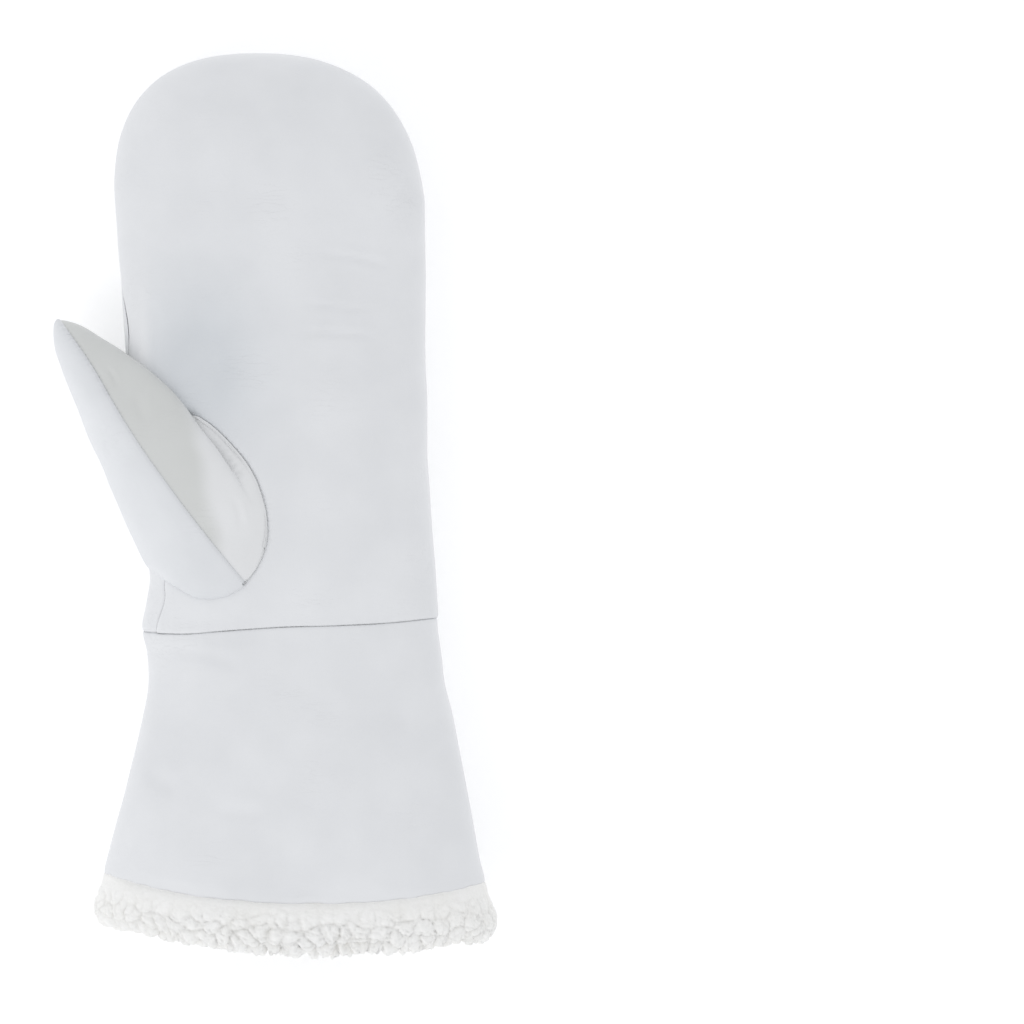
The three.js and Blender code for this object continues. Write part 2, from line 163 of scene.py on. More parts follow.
def tube_section(distance, inset=0.0):
    """Centre, half width, middle height and the two half heights of the tube at a distance from its
    tip: the outline's values less the inset, times the closing arch of the tip."""
    share = distance / HAND_LENGTH
    half = OUTLINE.read("half", share) * PALM_HALF_WIDTH
    half_height = OUTLINE.read("height", share) * HAND_HEIGHT / 2
    arch = rounded_end(distance - inset, ARCH_LENGTH - inset, ARCH_POWER)
    edge = rounded_end(distance - inset, EDGE_LENGTH - inset, 2)
    to_tip = np.clip(1 - distance / ARCH_LENGTH, 0, None)
    return {
        "centre": OUTLINE.read("centre", share) * PALM_HALF_WIDTH,
        "half": (half - inset) * arch,
        "middle": OUTLINE.read("lift", share) + half_height * (1 - 0.14 * to_tip**2),
        "up": (half_height - inset) * edge,
        "down": (half_height + BACK_SINK - inset) * edge,
    }


def tube(distance, angle, inset=0.0):
    """Point of the tube: angle 0 is the little finger's side and a quarter turn is over the palm.
    x and z are the cosine and sine raised to 2/p, times the half sizes; the mouth's edge droops."""
    s = tube_section(distance, inset)
    cosine, sine = np.cos(angle), np.sin(angle)
    over = sine > 0
    power = np.where(over, PALM_POWER, BACK_POWER)
    x = s["centre"] + s["half"] * np.sign(cosine) * np.abs(cosine) ** (2 / power)
    rise = np.sign(sine) * np.abs(sine) ** (2 / power)
    z = s["middle"] + np.where(over, s["up"], s["down"]) * rise
    into_cuff = np.clip((distance - HAND_LENGTH) / MOUTH_LENGTH, 0, None)
    lip = np.where(over, PALM_LIP, BACK_LIP)
    y = TIP_Y - distance - (lip * sine**2 + MOUTH_TILT * cosine) * into_cuff**2
    return np.stack(np.broadcast_arrays(x, y, np.maximum(z, inset)), axis=-1)


def palm_height(x, y):
    """Height of the palm's surface over a place in plan, from the same superellipse."""
    s = tube_section(TIP_Y - y)
    aside = np.clip(np.abs(x - s["centre"]) / np.maximum(s["half"], 1e-3), 0, 1)
    return s["middle"] + s["up"] * (1 - aside**PALM_POWER) ** (1 / PALM_POWER)


print("palm height at the middle of the hand, mm:", round(float(palm_height(0.0, 50.0)), 1))

# %% [markdown]
# ## Where the panels meet
# Two seams cut the tube into panels: the side seams between palm and back, and the wrist seam between
# hand and cuff. Both are kept as tables too. The side seam sinks under the thumb and comes up on to
# the palm beside the wrist, where it shows as a wavy line.

# %% Side seams and wrist seam
SIDE_SEAM = Table(
    "y thumb_side little_side",
    [
        (-70, 0.63, 0.42),
        (-53.4, 0.672, 0.42),
        (-49.7, 0.68, 0.42),
        (-43.8, 0.703, 0.42),
        (-39.6, 0.712, 0.42),
        (-33.7, 0.708, 0.42),
        (-27, 0.735, 0.42),
        (-20, 0.72, 0.42),
        (-10, 0.5, 0.42),
        (0, 0.32, 0.42),
        (30, 0.28, 0.42),
        (48, 0.36, 0.42),
        (60, 0.58, 0.42),
        (66, 0.605, 0.42),
        (72, 0.615, 0.42),
        (78, 0.6, 0.42),
        (85, 0.555, 0.42),
        (94, 0.48, 0.42),
        (150, 0.5, 0.42),
        (230, 0.5, 0.44),
    ],
)
WRIST_SEAM = Table(
    "angle y",
    [
        (0, -48.3),
        (15, -48.5),
        (30, -49.0),
        (60, -50.9),
        (90, -52.0),
        (112, -53.7),
        (130, -54.8),
        (150, -54.6),
        (180, -53.9),
        (210, -52.0),
        (240, -49.0),
        (270, -47.6),
        (300, -47.7),
        (330, -48.8),
        (345, -48.9),
        (360, -48.3),
    ],
)


def side_seam_angle(distance, side):
    """Angle at which the seam's height meets the tube: sine = (height above the middle / half
    height)^(p/2), on the little finger's side or, mirrored, on the thumb's."""
    s = tube_section(distance)
    height = SIDE_SEAM.read(side, TIP_Y - distance) * HAND_HEIGHT
    above = (height - s["middle"]) * ease(distance, 0, 30)
    over = above > 0
    reach = np.where(over, s["up"], s["down"])
    share = np.clip(np.abs(above) / np.maximum(reach, 1e-3), 0, 0.95)
    turn = np.arcsin(share ** (np.where(over, PALM_POWER, BACK_POWER) / 2)) * np.sign(above)
    return np.pi - turn if side == "thumb_side" else turn


def wrist_distance(angle):
    """Distance of the wrist seam from the tip of the hand, all round the tube."""
    return TIP_Y - WRIST_SEAM.read("y", np.degrees(angle) % 360)


# %% [markdown]
# ## From arrays to pieces
# Every leather panel is a grid of points. These helpers work on whole grids: they measure how far a
# point is from a seam along the leather, find the way out of the surface, and put the result into a
# mesh. Faces that are not wanted, such as those in the opening for the thumb, are left out by a mask.


# %% Grid helpers
def toward_ends(count, pull=0.8):
    """Numbers from 0 to 1 that lie closer together at both ends: t - pull * sin(2 pi t) / (2 pi)."""
    t = np.linspace(0, 1, count)
    return t - pull * np.sin(2 * np.pi * t) / (2 * np.pi)


def grid_normals(points, wrap=False):
    """Unit vectors square to the grid: the cross product of its two directions at every point."""
    if wrap:
        across = np.roll(points, -1, axis=1) - np.roll(points, 1, axis=1)
    else:
        across = np.gradient(points, axis=1)
    along = np.gradient(points, axis=0)
    normal = np.cross(across, along)
    length = np.linalg.norm(normal, axis=-1, keepdims=True)
    return normal / np.maximum(length, 1e-9)


def arc_length(points, axis):
    """Length along the grid from its first row or column to each point."""
    step = np.linalg.norm(np.diff(points, axis=axis), axis=-1)
    total = np.cumsum(step, axis=axis)
    first = np.zeros_like(np.take(total, [0], axis=axis))
    return np.concatenate([first, total], axis=axis)


def roll_in(distance, depth=SEAM_DEPTH, width=SEAM_WIDTH):
    """How far the leather turns in beside a seam: depth * (1 - distance/width)^2, and a slight
    swelling a few millimetres away, where the seam allowance lies behind it."""
    turned = -depth * np.clip(1 - distance / width, 0, None) ** 2
    return turned + 0.07 * np.exp(-(((distance - 2.6) / 1.6) ** 2))


def soft_noise(x, y, wavelength, seed, waves=9):
    """Smooth unevenness between about -1 and 1: the mean of a few sine waves in chance directions."""
    rng = np.random.default_rng(seed)
    turn = rng.uniform(0, 2 * np.pi, waves)
    phase = rng.uniform(0, 2 * np.pi, waves)
    length = wavelength * rng.uniform(0.7, 1.5, waves)
    total = sum(
        np.sin(2 * np.pi * (x * np.cos(a) + y * np.sin(a)) / w + p)
        for a, w, p in zip(turn, length, phase)
    )
    return total / np.sqrt(waves)


def grid_faces(rows, columns, wrap=False):
    """Four-cornered faces between neighbouring points of a grid, as rows of point numbers."""
    number = np.arange(rows * columns).reshape(rows, columns)
    if wrap:
        number = np.concatenate([number, number[:, :1]], axis=1)
    a, b = number[:-1, :-1], number[:-1, 1:]
    c, d = number[1:, 1:], number[1:, :-1]
    return np.stack([a, b, c, d], axis=-1)


def make_piece(name, points, faces, material, solid=0.0, merge=0.0):
    """Puts points (mm) and faces into a mesh object at the origin, smooth shaded, in metres. solid is
    the leather's thickness, grown inwards; merge closes poles whose points fall together."""
    used, faces = np.unique(faces, return_inverse=True)
    faces = faces.reshape(-1, 4)
    place = (points.reshape(-1, 3)[used] + SHIFT) * MM
    mesh = bpy.data.meshes.new(name)
    mesh.vertices.add(len(place))
    mesh.vertices.foreach_set("co", place.ravel())
    mesh.loops.add(faces.size)
    mesh.loops.foreach_set("vertex_index", faces.ravel())
    mesh.polygons.add(len(faces))
    mesh.polygons.foreach_set("loop_start", np.arange(0, faces.size, 4))
    mesh.update(calc_edges=True)
    if merge:
        work = bmesh.new()
        work.from_mesh(mesh)
        bmesh.ops.remove_doubles(work, verts=work.verts, dist=merge * MM)
        bmesh.ops.dissolve_degenerate(work, edges=work.edges, dist=merge * MM)
        work.to_mesh(mesh)
        work.free()
    mesh.shade_smooth()
    mesh.materials.append(material)
    piece = bpy.data.objects.new(name, mesh)
    bpy.context.scene.collection.objects.link(piece)
    if solid:
        wall = piece.modifiers.new("leather thickness", "SOLIDIFY")
        wall.thickness = solid * MM
        wall.offset = -1
        wall.use_rim = True
    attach(piece, "root")
    print(name, len(mesh.polygons), "faces")
    return piece


def pattern_places(piece):
    """The x, y and z of each point of a mesh, in the pattern's millimetres."""
    place = np.empty(len(piece.data.vertices) * 3, dtype=np.float32)
    piece.data.vertices.foreach_get("co", place)
    return (place.reshape(-1, 3) / MM - SHIFT).T


def store(piece, name, values):
    """Keeps one number for each point of the mesh as an attribute that a material can read."""
    layer = piece.data.attributes.new(name, "FLOAT", "POINT")
    layer.data.foreach_set("value", np.clip(values, 0, 1).astype(np.float32).ravel())


# %% [markdown]
# ## White leather
# The outside is smooth nappa: nearly white with a cool cast, a fine grain of tiny cells, small pores,
# soft cloudy differences in colour and gloss, and a low sheen. All of it is procedural and reads
# Object coordinates, so the grain keeps its real size of under a millimetre on every panel. Shade is
# painted into the colour too: where an attribute on the mesh says so, the colour is multiplied by a
# grey tint. It stands for the thumb's shade on the palm beside it and for the shade on the thumb's
# panels. The thumb's inner panel, which faces away from the lamp, gets a copy of the leather whose
# painted shade is a warmer grey.


# %% Node helpers
def new_material(name):
    """An empty node material with its shader, output and object coordinates."""
    material = bpy.data.materials.new(name)
    material.use_nodes = True
    nodes, links = material.node_tree.nodes, material.node_tree.links
    nodes.clear()
    output = nodes.new("ShaderNodeOutputMaterial")
    shader = nodes.new("ShaderNodeBsdfPrincipled")
    links.new(shader.outputs["BSDF"], output.inputs["Surface"])
    place = nodes.new("ShaderNodeTexCoord")
    return material, nodes, links, shader, place.outputs["Object"]


def noise(nodes, links, place, size_mm, detail=2.0, rough=0.5):
    """Noise whose soft lumps are about size_mm wide."""
    node = nodes.new("ShaderNodeTexNoise")
    node.inputs["Scale"].default_value = 1 / (size_mm * MM)
    node.inputs["Detail"].default_value = detail
    node.inputs["Roughness"].default_value = rough
    links.new(place, node.inputs["Vector"])
    return node.outputs["Fac"]


def cells(nodes, links, place, size_mm, feature="F1"):
    """Cells about size_mm wide: the distance to the nearest cell's middle or edge."""
    node = nodes.new("ShaderNodeTexVoronoi")
    node.feature = feature
    node.inputs["Scale"].default_value = 1 / (size_mm * MM)
    links.new(place, node.inputs["Vector"])
    return node.outputs["Distance"]


def ramp(nodes, links, value, stops):
    """Colours over a value: stops are (place, colour)."""
    node = nodes.new("ShaderNodeValToRGB")
    spots = node.color_ramp.elements
    while len(spots) < len(stops):
        spots.new(0.5)
    for spot, (where, colour) in zip(spots, stops):
        spot.position = where
        spot.color = (*colour, 1)
    links.new(value, node.inputs["Fac"])
    return node.outputs["Color"]


def between(nodes, links, value, low, high):
    """Stretches a value from 0..1 to low..high."""
    node = nodes.new("ShaderNodeMapRange")
    node.inputs["To Min"].default_value = low
    node.inputs["To Max"].default_value = high
    links.new(value, node.inputs["Value"])
    return node.outputs["Result"]


def bump(nodes, links, height, depth_mm, strength, under=None):
    """A bump depth_mm deep, on top of another one if there is one under it."""
    node = nodes.new("ShaderNodeBump")
    node.inputs["Distance"].default_value = depth_mm * MM
    node.inputs["Strength"].default_value = strength
    links.new(height, node.inputs["Height"])
    if under is not None:
        links.new(under, node.inputs["Normal"])
    return node.outputs["Normal"]


# %% The leather materials
def nappa(name, light, shade, shade_paint):
    """White nappa leather: cloudy colour, grain of small cells, pores and a low, uneven gloss, with
    painted shade: the colour is multiplied by a grey tint as far as a stored attribute says."""
    material, nodes, links, shader, place = new_material(name)
    cloud = ramp(nodes, links, noise(nodes, links, place, 30, detail=4), [(0.34, shade), (0.66, light)])
    # painted shade: the stored attribute mixes in a multiply by the grey shade tint
    painted_shade = nodes.new("ShaderNodeAttribute")
    painted_shade.attribute_name = "painted_shade"
    tint = nodes.new("ShaderNodeMix")
    tint.data_type = "RGBA"
    tint.blend_type = "MULTIPLY"
    tint.inputs["B"].default_value = (*shade_paint, 1)
    links.new(painted_shade.outputs["Fac"], tint.inputs["Factor"])
    links.new(cloud, tint.inputs["A"])
    links.new(tint.outputs["Result"], shader.inputs["Base Color"])
    gloss = noise(nodes, links, place, 9, detail=4)
    links.new(between(nodes, links, gloss, 0.4, 0.54), shader.inputs["Roughness"])
    soft = bump(nodes, links, noise(nodes, links, place, 6, detail=4), 0.45, 0.35)
    drawn = nodes.new("ShaderNodeMapping")
    drawn.inputs["Scale"].default_value = (0.22, 1, 1)
    links.new(place, drawn.inputs["Vector"])
    waves = noise(nodes, links, drawn.outputs["Vector"], 3.6, detail=3)
    lines = ramp(nodes, links, waves, [(0.46, (1, 1, 1)), (0.5, (0, 0, 0)), (0.54, (1, 1, 1))])
    patches = noise(nodes, links, place, 34, detail=2)
    where = ramp(nodes, links, patches, [(0.52, (0, 0, 0)), (0.66, (1, 1, 1))])
    wrinkled = bump(nodes, links, lines, 0.16, 0.5, under=soft)
    links.new(between(nodes, links, where, 0.0, 0.5), wrinkled.node.inputs["Strength"])
    grain = cells(nodes, links, place, 0.85, "DISTANCE_TO_EDGE")
    grained = bump(nodes, links, grain, 0.06, 0.35, under=wrinkled)
    fine = bump(nodes, links, noise(nodes, links, place, 0.6, detail=5), 0.09, 0.35, under=grained)
    links.new(fine, shader.inputs["Normal"])
    shader.inputs["Specular IOR Level"].default_value = 0.42
    shader.inputs["Sheen Weight"].default_value = 0.06
    shader.inputs["Sheen Roughness"].default_value = 0.5
    return material


white_nappa = nappa(
    "white nappa leather", (0.835, 0.842, 0.855), (0.795, 0.803, 0.817), (0.85, 0.87, 0.885)
)
# a copy of the leather for the thumb's inner panel, a little warmer, whose tint is a warmer grey: painted
# shade for the panel that faces away from the lamp
shaded_nappa = nappa(
    "white nappa leather, painted shade copy", (0.835, 0.84, 0.845), (0.8, 0.805, 0.808), (0.842, 0.848, 0.825)
)

# %% [markdown]
# ## Sheepskin pile and thread
# Sheepskin pile is matt, soft and a little warmer than the leather. Deep between the curls it is darker
# and yellower, because the light that gets there has bounced off wool many times. An attribute called
# depth is stored on the mesh when its tufts are raised, and the material reads it.


# %% The pile and thread materials
def sheepskin(name, top, deep):
    """Matt curly wool: colour from the tufts' depth and soft clouds, with fine fibre bump."""
    material, nodes, links, shader, place = new_material(name)
    depth = nodes.new("ShaderNodeAttribute")
    depth.attribute_name = "depth"
    shade = ramp(nodes, links, depth.outputs["Fac"], [(0.0, deep), (0.6, top)])
    cloud = ramp(
        nodes,
        links,
        noise(nodes, links, place, 16, detail=3),
        [(0.35, (0.98, 0.977, 0.967)), (0.65, (1.0, 1.0, 1.0))],
    )
    tint = nodes.new("ShaderNodeMix")
    tint.data_type = "RGBA"
    tint.blend_type = "MULTIPLY"
    tint.inputs["Factor"].default_value = 1.0
    links.new(shade, tint.inputs["A"])
    links.new(cloud, tint.inputs["B"])
    links.new(tint.outputs["Result"], shader.inputs["Base Color"])
    stretch = nodes.new("ShaderNodeMapping")
    stretch.inputs["Scale"].default_value = (1, 0.3, 1)
    links.new(place, stretch.inputs["Vector"])
    strands = noise(nodes, links, stretch.outputs["Vector"], 0.7, detail=3)
    combed = bump(nodes, links, strands, 0.25, 0.35)
    curl = bump(nodes, links, noise(nodes, links, place, 1.7, detail=5, rough=0.62), 0.7, 0.6, under=combed)
    fibre = bump(nodes, links, noise(nodes, links, place, 0.45, detail=3), 0.2, 0.6, under=curl)
    links.new(fibre, shader.inputs["Normal"])
    rough = noise(nodes, links, place, 2.5)
    links.new(between(nodes, links, rough, 0.85, 1.0), shader.inputs["Roughness"])
    shader.inputs["Specular IOR Level"].default_value = 0.15
    shader.inputs["Sheen Weight"].default_value = 0.25
    shader.inputs["Sheen Roughness"].default_value = 0.6
    return material


pile_wool = sheepskin("sheepskin pile", (0.99, 0.985, 0.968), (0.8, 0.79, 0.765))


def twisted_thread(name, colour, dark):
    """Sewing thread: a fine twist in its bump and a faint change of colour along it."""
    material, nodes, links, shader, place = new_material(name)
    twist = noise(nodes, links, place, 0.25, detail=2)
    links.new(ramp(nodes, links, twist, [(0.3, dark), (0.7, colour)]), shader.inputs["Base Color"])
    links.new(bump(nodes, links, twist, 0.06, 0.7), shader.inputs["Normal"])
    links.new(between(nodes, links, twist, 0.5, 0.75), shader.inputs["Roughness"])
    return material


white_thread = twisted_thread("white thread", (0.72, 0.72, 0.72), (0.58, 0.58, 0.59))

# %% [markdown]
# ## The thumb, in its own directions
# The thumb is a leaf-shaped bag, sewn into a D-shaped opening of the palm. It is described in its own
# directions: along it from the foot of its front seam to its tip, across it, and up. THUMB_LINES holds
# what is seen from above: the front seam, the edge of the fold where the inner panel bulges over, the
# joint with the palm, and the outer edge. THUMB_HEIGHTS holds what is seen from the side.

# %% The thumb's tables
THUMB_LINES = Table(
    "along seam fold joint outer",
    [
        (-0.35, 0.0, 0.3, 0.4, 0.5),
        (0.0, 0.0, 2.1, 2.6, 4.2),
        (0.5, 0.0, 3.9, 4.8, 8.0),
        (1.1, 0.0, 5.7, 7.0, 9.9),
        (1.8, -0.1, 7.2, 8.8, 11.6),
        (3.2, -0.2, 9.6, 11.7, 14.4),
        (5.0, -0.3, 11.9, 14.5, 17.0),
        (7.3, -0.5, 14.2, 17.3, 19.5),
        (10.4, -0.7, 16.6, 20.2, 21.3),
        (14.0, -0.9, 18.7, 22.6, 22.9),
        (19.0, -1.2, 20.8, 25.4, 25.2),
        (24.0, -1.4, 22.0, 27.4, 27.2),
        (28.5, -1.6, 22.4, 28.9, 28.6),
        (33.0, -1.8, 22.7, 30.0, 28.5),
        (41.0, -2.0, 23.4, 30.7, 27.0),
        (51.0, -2.1, 24.0, 29.9, 25.0),
        (60.5, -2.2, 23.4, 28.1, 22.9),
        (67.0, -2.2, 23.3, 25.8, 21.6),
        (72.0, -2.1, 23.2, 23.6, 20.4),
        (84.0, -1.6, 22.2, 22.2, 17.9),
        (96.0, -0.7, 19.1, 19.1, 15.2),
        (106.0, 0.2, 16.0, 16.0, 12.7),
        (116.0, 0.6, 12.1, 12.1, 10.4),
        (126.0, 0.5, 7.9, 7.9, 7.7),
        (135.3, 0.3, 5.2, 5.2, 5.2),
    ],
)
THUMB_HEIGHTS = Table(
    "along front inner outer under",
    [
        (-0.5, 39.2, 38.0, 37.0, 23.9),
        (2.0, 40.0, 38.5, 35.5, 21.8),
        (6.5, 41.3, 39.1, 34.4, 20.2),
        (15.0, 43.3, 39.9, 30.2, 17.6),
        (28.0, 46.5, 41.2, 21.8, 14.3),
        (45.9, 49.8, 42.0, 21.0, 11.3),
        (66.0, 50.0, 41.2, 21.0, 9.9),
        (81.9, 47.5, 38.6, 20.6, 9.5),
        (97.1, 43.0, 34.4, 20.2, 9.5),
        (110.0, 38.0, 29.8, 19.7, 10.5),
        (122.0, 31.9, 25.2, 19.5, 12.6),
        (130.0, 28.9, 23.0, 19.5, 13.6),
        (135.3, 26.5, 21.5, 19.6, 14.0),
    ],
)
THUMB_START, THUMB_END = -0.35, 135.3
THUMB_ROUND = 13.3
THUMB_TIP_HEIGHT = 20.6


def thumb_place(along, across):
    """Plan place of a point given along and across the thumb: its foot plus both directions."""
    x = THUMB_FOOT[0] - along * np.sin(THUMB_ANGLE) + across * np.cos(THUMB_ANGLE)
    y = THUMB_FOOT[1] + along * np.cos(THUMB_ANGLE) + across * np.sin(THUMB_ANGLE)
    return x, y


def thumb_closing(along):
    """1 along the thumb, falling to 0 at its tip as a quarter circle does."""
    into = np.clip((along - (THUMB_END - THUMB_ROUND)) / THUMB_ROUND, 0, 1)
    return np.sqrt(1 - into**2)


def thumb_widths(along):
    """Front seam, fold, joint and outer edge across the thumb, closed at the tip."""
    closing = thumb_closing(along)
    seam = THUMB_LINES.read("seam", along) * closing
    return (
        seam,
        THUMB_LINES.read("fold", along) * closing,
        THUMB_LINES.read("joint", along) * closing,
        -THUMB_LINES.read("outer", along) * closing,
    )


def thumb_heights(along):
    """Front, inner, outer and under heights, drawn together to one height at the tip."""
    closing = thumb_closing(along)
    return [
        THUMB_TIP_HEIGHT + (THUMB_HEIGHTS.read(c, along) - THUMB_TIP_HEIGHT) * closing
        for c in ("front", "inner", "outer", "under")
    ]


# %% [markdown]
# ## The opening for the thumb
# The opening's edge follows the joint on the palm's side and the foot of the thumb at its lower end.
# As a closed line in plan it serves two ends: panels know how far they are from that seam, and the palm
# knows which of its faces lie inside the opening.


# %% The opening's edge
def opening_edge():
    """The D-shaped line: up the joint, over to the side of the hand, down outside it, and back along
    the foot of the thumb."""
    inner = THUMB_START + 72.35 * np.linspace(0, 1, 60) ** 1.6
    x1, y1 = thumb_place(inner, THUMB_LINES.read("joint", inner))
    outer = THUMB_START + 22.75 * np.linspace(1, 0, 40) ** 1.6
    x2, y2 = thumb_place(outer, -THUMB_LINES.read("outer", outer))
    side = np.array([(-48, 40.2), (-59.5, 40.6), (-80, 41), (-80, -25), (-54, -28.0)])
    return np.concatenate([np.stack([x1, y1], 1), side, np.stack([x2, y2], 1)])


OPENING = opening_edge()


def from_opening(x, y):
    """Distance in plan from the opening's edge, positive outside it: the least distance to any of its
    short straight pieces, with the sign from counting how often a level line crosses it."""
    start, end = OPENING, np.roll(OPENING, -1, axis=0)
    nearest = np.full(x.shape, 1e9)
    crossings = np.zeros(x.shape, dtype=int)
    for (ax, ay), (bx, by) in zip(start, end):
        dx, dy = bx - ax, by - ay
        t = np.clip(((x - ax) * dx + (y - ay) * dy) / (dx * dx + dy * dy + 1e-12), 0, 1)
        nearest = np.minimum(nearest, np.hypot(x - ax - t * dx, y - ay - t * dy))
        spans = (ay > y) != (by > y)
        level = ax + (y - ay) / np.where(spans, by - ay, 1) * dx
        crossings += spans & (x < level)
    return np.where(crossings % 2 == 1, -nearest, nearest)


print("opening for the thumb, mm:", np.round(OPENING.max(0) - OPENING.min(0), 1))

# %% [markdown]
# ## Creases and dents
# A lined mitten that has been worn keeps a few soft creases across the palm and the thumb, and shallow
# dents in the cuff. Each is a stroke in plan, with a soft valley for its cross-section and ends that
# fade away.

# %% Creases
CREASES = [
    # x0, y0, x1, y1, bow, width, depth
    (16, 104.5, 50, 98.5, 1.5, 1.5, 0.75),
    (11, 84.2, 42, 82.0, -0.8, 1.3, 0.6),
    (10, 71.4, 43, 70.0, 0.6, 1.4, 0.8),
    (50, 131.5, 61, 122.5, 1.0, 1.6, 0.8),
    (-54, 90, -53, 60, 1.0, 2.2, 0.5),
    (-46, -61.0, -13, -69.5, 1.5, 3.2, 0.7),
    (-56, -114, -41, -121, 1.0, 3.5, 0.7),
    (-28, -127.5, 0, -130, -1.0, 3.0, 0.6),
    (20, 30, 52, 38, 2.0, 6.0, 0.5),
    (-30, 120, 10, 126, 2.5, 7.0, 0.5),
    (-38, 92, -30, 44, 2.0, 17.0, 1.0),
    (30, -95, 62, -88, 2.0, 6.0, 0.6),
]
THUMB_CREASES = [
    (-71.5, 57.5, -66.8, 49.0, 0.6, 1.0, 0.45),
    (-74.0, 55.0, -70.0, 47.5, 0.5, 0.9, 0.3),
    (-60.0, 46.0, -55.0, 33.0, 1.0, 2.2, 0.4),
    (-18.5, 4.0, -14.5, -12.0, 0.8, 1.2, 0.3),
    (-15.5, 2.0, -12.5, -10.0, -0.6, 1.0, 0.22),
]
BACK_FOLDS = [
    (-56, 116, -34, 62, 2.0, 3.2, 0.9),
    (-40, 118, -16, 72, 2.0, 3.0, 0.6),
    (10, -20, 40, -30, 2.0, 3.0, 0.6),
]


def strokes(x, y, table):
    """Depth of soft valleys: for each stroke, minus depth * exp(-(distance/width)^2), fading towards
    both ends; bow bends the stroke sideways at its middle."""
    total = np.zeros_like(x)
    for x0, y0, x1, y1, bow, width, depth in table:
        dx, dy = x1 - x0, y1 - y0
        length = np.hypot(dx, dy)
        t = ((x - x0) * dx + (y - y0) * dy) / length**2
        inside = np.clip(t, 0, 1)
        side = ((y - y0) * dx - (x - x0) * dy) / length - bow * 4 * inside * (1 - inside)
        fade = ease(t, -0.05, 0.3) * (1 - ease(t, 0.7, 1.05))
        valley = np.exp(-((side / width) ** 2)) - 0.35 * np.exp(-(((side - 2.2 * width) / width) ** 2))
        total -= depth * fade * valley
    return total


# %% [markdown]
# ## Palm panel
# The palm runs from side seam to side seam and from the tip to the wrist. At its edges the leather
# turns in, because the panels are sewn face to face and turned. Its grid is finer near those edges, so
# the turn stays crisp. The faces inside the thumb's opening are left out.


# %% Distances of the rows, and the hand's panels
def hand_distances(angle, tip_rows, rest_rows):
    """Distance from the tip for each row of a hand panel: along the arch first, evenly round it, and
    then to the wrist seam, closer together towards the seam."""
    turn = np.linspace(0, np.pi / 2, tip_rows)
    tip = ARCH_LENGTH * (1 - np.cos(turn) ** (2 / ARCH_POWER))
    t = np.linspace(0, 1, rest_rows + 1)[1:]
    rest = np.sin(t * np.pi / 2) * 0.45 + t * 0.55
    end = wrist_distance(angle)
    return np.concatenate(
        [np.repeat(tip[:, None], angle.shape[1], 1), ARCH_LENGTH + rest[:, None] * (end - ARCH_LENGTH)]
    )


def hand_panel(first_side, last_side, turn, tip_rows, rest_rows, columns):
    """Grid of a hand panel between two side seams. The seam's angle depends on the distance and the
    distance on the angle, so both are found in three rounds."""
    share = toward_ends(columns)[None, :]
    angle = np.repeat(share * np.pi + turn, tip_rows + rest_rows, 0)
    for _ in range(3):
        distance = hand_distances(angle[-1:], tip_rows, rest_rows)
        start = side_seam_angle(distance[:, 0], first_side)
        stop = side_seam_angle(distance[:, -1], last_side)
        if turn:
            stop = stop + 2 * np.pi
        angle = start[:, None] + (stop - start)[:, None] * share
    return distance, angle


def seam_puckers(from_seam, run, seed):
    """Small gathers square to a seam: waves along it that die away within a centimetre."""
    wave = np.sin(2 * np.pi * run / 6.4 + 1.7 * soft_noise(run, run * 0, 31, seed))
    wave = wave + 0.6 * np.sin(2 * np.pi * run / 3.1 + 2.1 * soft_noise(run, run * 0, 17, seed + 1))
    return 0.16 * wave * np.exp(-from_seam / 4.0) * (1 - np.exp(-from_seam / 0.8))


def inside_thumb(points, margin):
    """True where a point lies inside the thumb's bag by more than margin."""
    x, y, z = points[..., 0], points[..., 1], points[..., 2]
    rx, ry = x - THUMB_FOOT[0], y - THUMB_FOOT[1]
    along = -rx * np.sin(THUMB_ANGLE) + ry * np.cos(THUMB_ANGLE)
    across = rx * np.cos(THUMB_ANGLE) + ry * np.sin(THUMB_ANGLE)
    _, _, joint, outer = thumb_widths(along)
    front, inner_z, outer_z, under = thumb_heights(along)
    edge = np.where(across > 0, joint, -outer) - margin
    level = np.where(across > 0, inner_z, outer_z)
    aside = np.clip(np.abs(across) / np.maximum(edge, 1e-3), 0, 2)
    belly = np.sqrt(np.clip(1 - aside**2, 0, 1))
    low = level - (level - under - margin) * belly
    high = level + (front - level - margin) * belly
    return (aside < 1) & (z > low) & (z < high + 6) & (along > 0) & (along < THUMB_END)


def snap_to_opening(points, reach):
    """Moves grid points that lie closer to the opening's edge than reach on to it: a step against the
    slope of the distance, so that the seam becomes a clean line of the mesh."""
    px, py, small = points[..., 0], points[..., 1], 0.05
    away = from_opening(px, py)
    slope_x = (from_opening(px + small, py) - away) / small
    slope_y = (from_opening(px, py + small) - away) / small
    step = np.where(np.abs(away) < reach, away, 0) / np.maximum(slope_x**2 + slope_y**2, 0.2)
    new_x, new_y = px - step * slope_x, py - step * slope_y
    new_z = points[..., 2] + np.where(step != 0, palm_height(new_x, new_y) - palm_height(px, py), 0)
    return np.stack([new_x, new_y, new_z], axis=-1)


